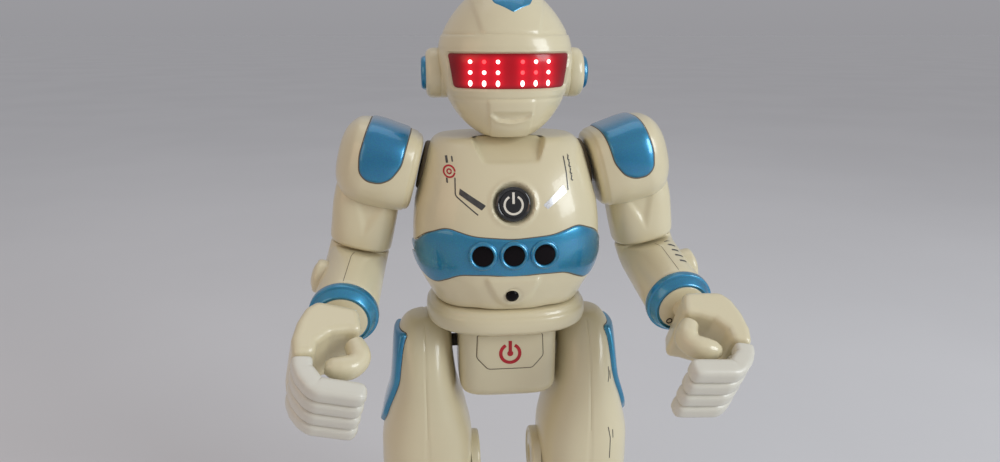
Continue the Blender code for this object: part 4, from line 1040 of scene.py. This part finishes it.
def build_legs():
    angles = even_angles(16, 19, 2.5, 150)
    base = rings(smoothed(THIGH_ROWS, 110), angles)
    tree = solid_tree(closed_grid(base))
    x, y, z = (base[..., k] for k in range(3))
    shift = np.where((y < 0) & (z < 141), groove(x - LEG_X, 0.35, 0.3), 0)
    shift += np.where(y > 0, groove(x - LEG_X, 0.35, 0.3), 0)
    shift += groove(z - 84.5, 0.4, 0.3) * inside(20 - np.abs(z - 84.5) - 15, 1)
    pair("thigh_skin", closed_grid(base + grid_normals(base) * shift[..., None]), CREAM, "leg",
         ["thigh"])
    left = from_left(tree)
    outline = rounded(THIGH_PANEL, 1.8)
    pair("thigh_panel_seam", film(grown(outline, 0.2), left, 0.03, 1.6), SEAM, "leg")
    pair("thigh_panel_plate", plate(outline, left, 1.7, edge=1.2, sink=0.4, step=1.4), PEARL, "leg",
         ["thigh_panel"])
    front = from_front(tree)
    for k, line in enumerate((((39.6, 123.6), (39.9, 120.5), (39.3, 118.0)),
            ((40.4, 121.8), (40.5, 118.6)), ((39.0, 100.6), (40.0, 96.0), (39.9, 87.0)),
            ((41.0, 99.0), (41.2, 95.6)))):
        mark(f"thigh_print_{k + 1}", stroke(rounded(line, 0.8, 0.5, False), 0.32), front, CHARCOAL,
             "leg_left", step=0.6)

    disc = turned((12.4, -1.5, 78.4), (1, 0, 0), ((3.6, 11.5), (1.2, 11.5), (0.5, 11.3),
            (0.1, 10.8), (0.0, 10.0), (0.5, 9.6), (0.6, 9.0), (0.25, 8.6), (0.1, 6.0), (0.0, 4.2),
            (0.5, 3.8), (0.9, 3.4), (0.95, 0.4)), 72)
    pair("knee_disc_cover", moved(disc, Matrix.Translation((-1.8, 0, 0))), CREAM, "leg",
         ["knee_disc"], radians(60))

    rows = smoothed(SHIN_ROWS, 60)
    shin = rings(rows, angles)
    low = ANKLE_Z + np.sqrt(22.4 ** 2 - np.minimum(np.abs(shin[..., 1]), 22) ** 2)
    low = np.maximum(low, 32.2)
    shin[..., 2] = low + shin[..., 2] / 46.2 * (78.2 - low)
    crease = np.where(shin[..., 1] < 0, groove(shin[..., 0] - LEG_X, 0.35, 0.3), 0)
    crease += groove(shin[..., 2] - 60.5, 0.45, 0.35)
    pair("shin_skin", closed_grid(shin + grid_normals(shin) * crease[..., None]), CREAM, "leg",
         ["shin"])

    boot = rings(smoothed(BOOT_ROWS, 90), even_angles(18, 32, 2.8, 170))
    room = np.sqrt(np.maximum(21.9 ** 2 - (boot[..., 2] - ANKLE_Z) ** 2, 0.01))
    above = inside(27.0 - boot[..., 2], 4.0)
    limited = np.sign(boot[..., 1]) * np.minimum(np.abs(boot[..., 1]), room)
    boot[..., 1] = boot[..., 1] * (1 - above) + limited * above
    shift = groove(boot[..., 2] - 7.4, 0.5, 0.5)
    shift += groove(boot[..., 1] + 24.0 - (boot[..., 2] - 10) * 0.25, 0.5, 0.4) * (boot[..., 2] > 8)
    boot_mesh = closed_grid(boot + grid_normals(boot) * shift[..., None])
    pad_outline = rounded(((LEG_X - 14, -38), (LEG_X + 14, -38), (LEG_X + 14, -6),
            (LEG_X - 14, -6)), 4, 1.0)
    pad_grid = np.array([np.column_stack([LEG_X + (pad_outline[:, 0] - LEG_X) * k,
            -22 + (pad_outline[:, 1] + 22) * k, np.full(len(pad_outline), h)]) for h,
            k in ((0.0, 0.97), (0.25, 0.995), (0.6, 1.0), (3.0, 1.0))])
    pair("boot_skin", joined(boot_mesh, closed_grid(pad_grid)), CREAM, "foot", ["boot"])
    wheel_rows = [(0, 3.0), (0.15, 8.2), (0.5, 9.1), (1.0, 9.45)]
    for k in range(5):
        wheel_rows += [(1.6 + 1.5 * k, 9.5), (2.2 + 1.5 * k, 9.5), (2.35 + 1.5 * k, 9.1),
                (2.75 + 1.5 * k, 9.1), (2.9 + 1.5 * k, 9.5)]
    wheel_rows = wheel_rows[:-3] + [(9.0, 9.45), (9.5, 9.1), (9.85, 8.2), (10, 3.0)]
    wheel = joined(turned((LEG_X - 5, WHEEL_Y, WHEEL_RADIUS), (1, 0, 0), wheel_rows, 72),
            turned((LEG_X - 8.6, WHEEL_Y, WHEEL_RADIUS), (1, 0, 0),
            ((0, 1.2), (0.3, 1.6), (16.9, 1.6), (17.2, 1.2)), 24))
    pair("drive_wheel_tread", wheel, TYRE, "wheel", ["drive_wheel"])


# --- stage, light, camera
def build_stage():
    floor_mesh = bpy.data.meshes.new("floor")
    half = 30.0
    floor_mesh.from_pydata([(-half, -half, 0), (half, -half, 0), (half, half, 0), (-half, half, 0)],
            [], [(0, 1, 2, 3)])
    floor = linked("floor", floor_mesh)
    floor.data.materials.append(surface("pale_floor", (0.69, 0.685, 0.70), (0.71, 0.705, 0.72), 3,
            0.75, grain=0.02, specular=0.1))
    world = bpy.data.worlds.new("studio")
    world.use_nodes = True
    nodes, links = world.node_tree.nodes, world.node_tree.links
    height = nodes.new("ShaderNodeSeparateXYZ")
    links.new(nodes.new("ShaderNodeTexCoord").outputs["Generated"], height.inputs["Vector"])
    sky = blended(nodes, links, height.outputs["Z"], 0.0, 0.5, (0.315, 0.312, 0.33),
                  (0.455, 0.455, 0.47))
    links.new(sky, nodes["Background"].inputs["Color"])
    bpy.context.scene.world = world
    bpy.context.scene.view_settings.view_transform = 'Standard'


def lamp(name, place, aim, size, power, colour):
    light = bpy.data.lights.new(name, 'AREA')
    light.shape = 'RECTANGLE'
    light.size, light.size_y = size
    light.energy = power
    light.color = colour
    obj = linked(name, light)
    obj.location = place
    obj.rotation_euler = (Vector(aim) - Vector(place)).to_track_quat('-Z', 'Y').to_euler()


def build_lights():
    middle = (0, 0, 0.17)
    lamp("key_window", (0.85, -0.62, 0.55), middle, (0.5, 0.6), 7.0, (0.90, 0.96, 1.0))
    lamp("warm_bounce", (-0.85, -0.5, 0.5), middle, (0.7, 0.6), 1.4, (1.0, 0.62, 0.36))
    lamp("sky_panel", (0, 0.35, 1.2), (0, 0.35, 0), (0.9, 0.7), 1.2, (0.95, 0.97, 1.0))


def build_camera():
    """Near head height, a little to the robot's right, looking down."""
    away, height, side = 285.0, 252.0, -1.5
    turn, pitch = radians(-6), radians(15)
    forward = Vector((-sin(turn) * cos(pitch), cos(turn) * cos(pitch), -sin(pitch)))
    right = forward.cross(Vector((0, 0, 1))).normalized()
    up = right.cross(forward)
    place = Vector((sin(turn) * away, -cos(turn) * away, height)) + right * side + Vector(SHIFT)
    data = bpy.data.cameras.new("camera")
    data.sensor_width = 36
    data.lens = 27.18
    data.clip_start = 0.01
    camera = linked("camera", data)
    camera.matrix_world = Matrix.Translation(place * MM) @ Matrix((right, up,
            -forward)).transposed().to_4x4()
    bpy.context.scene.camera = camera


build_head()
build_torso()
build_controls()
build_shoulder()
build_upper_arm()
build_forearm()
build_hands()
build_legs()
build_stage()
build_lights()
build_camera()
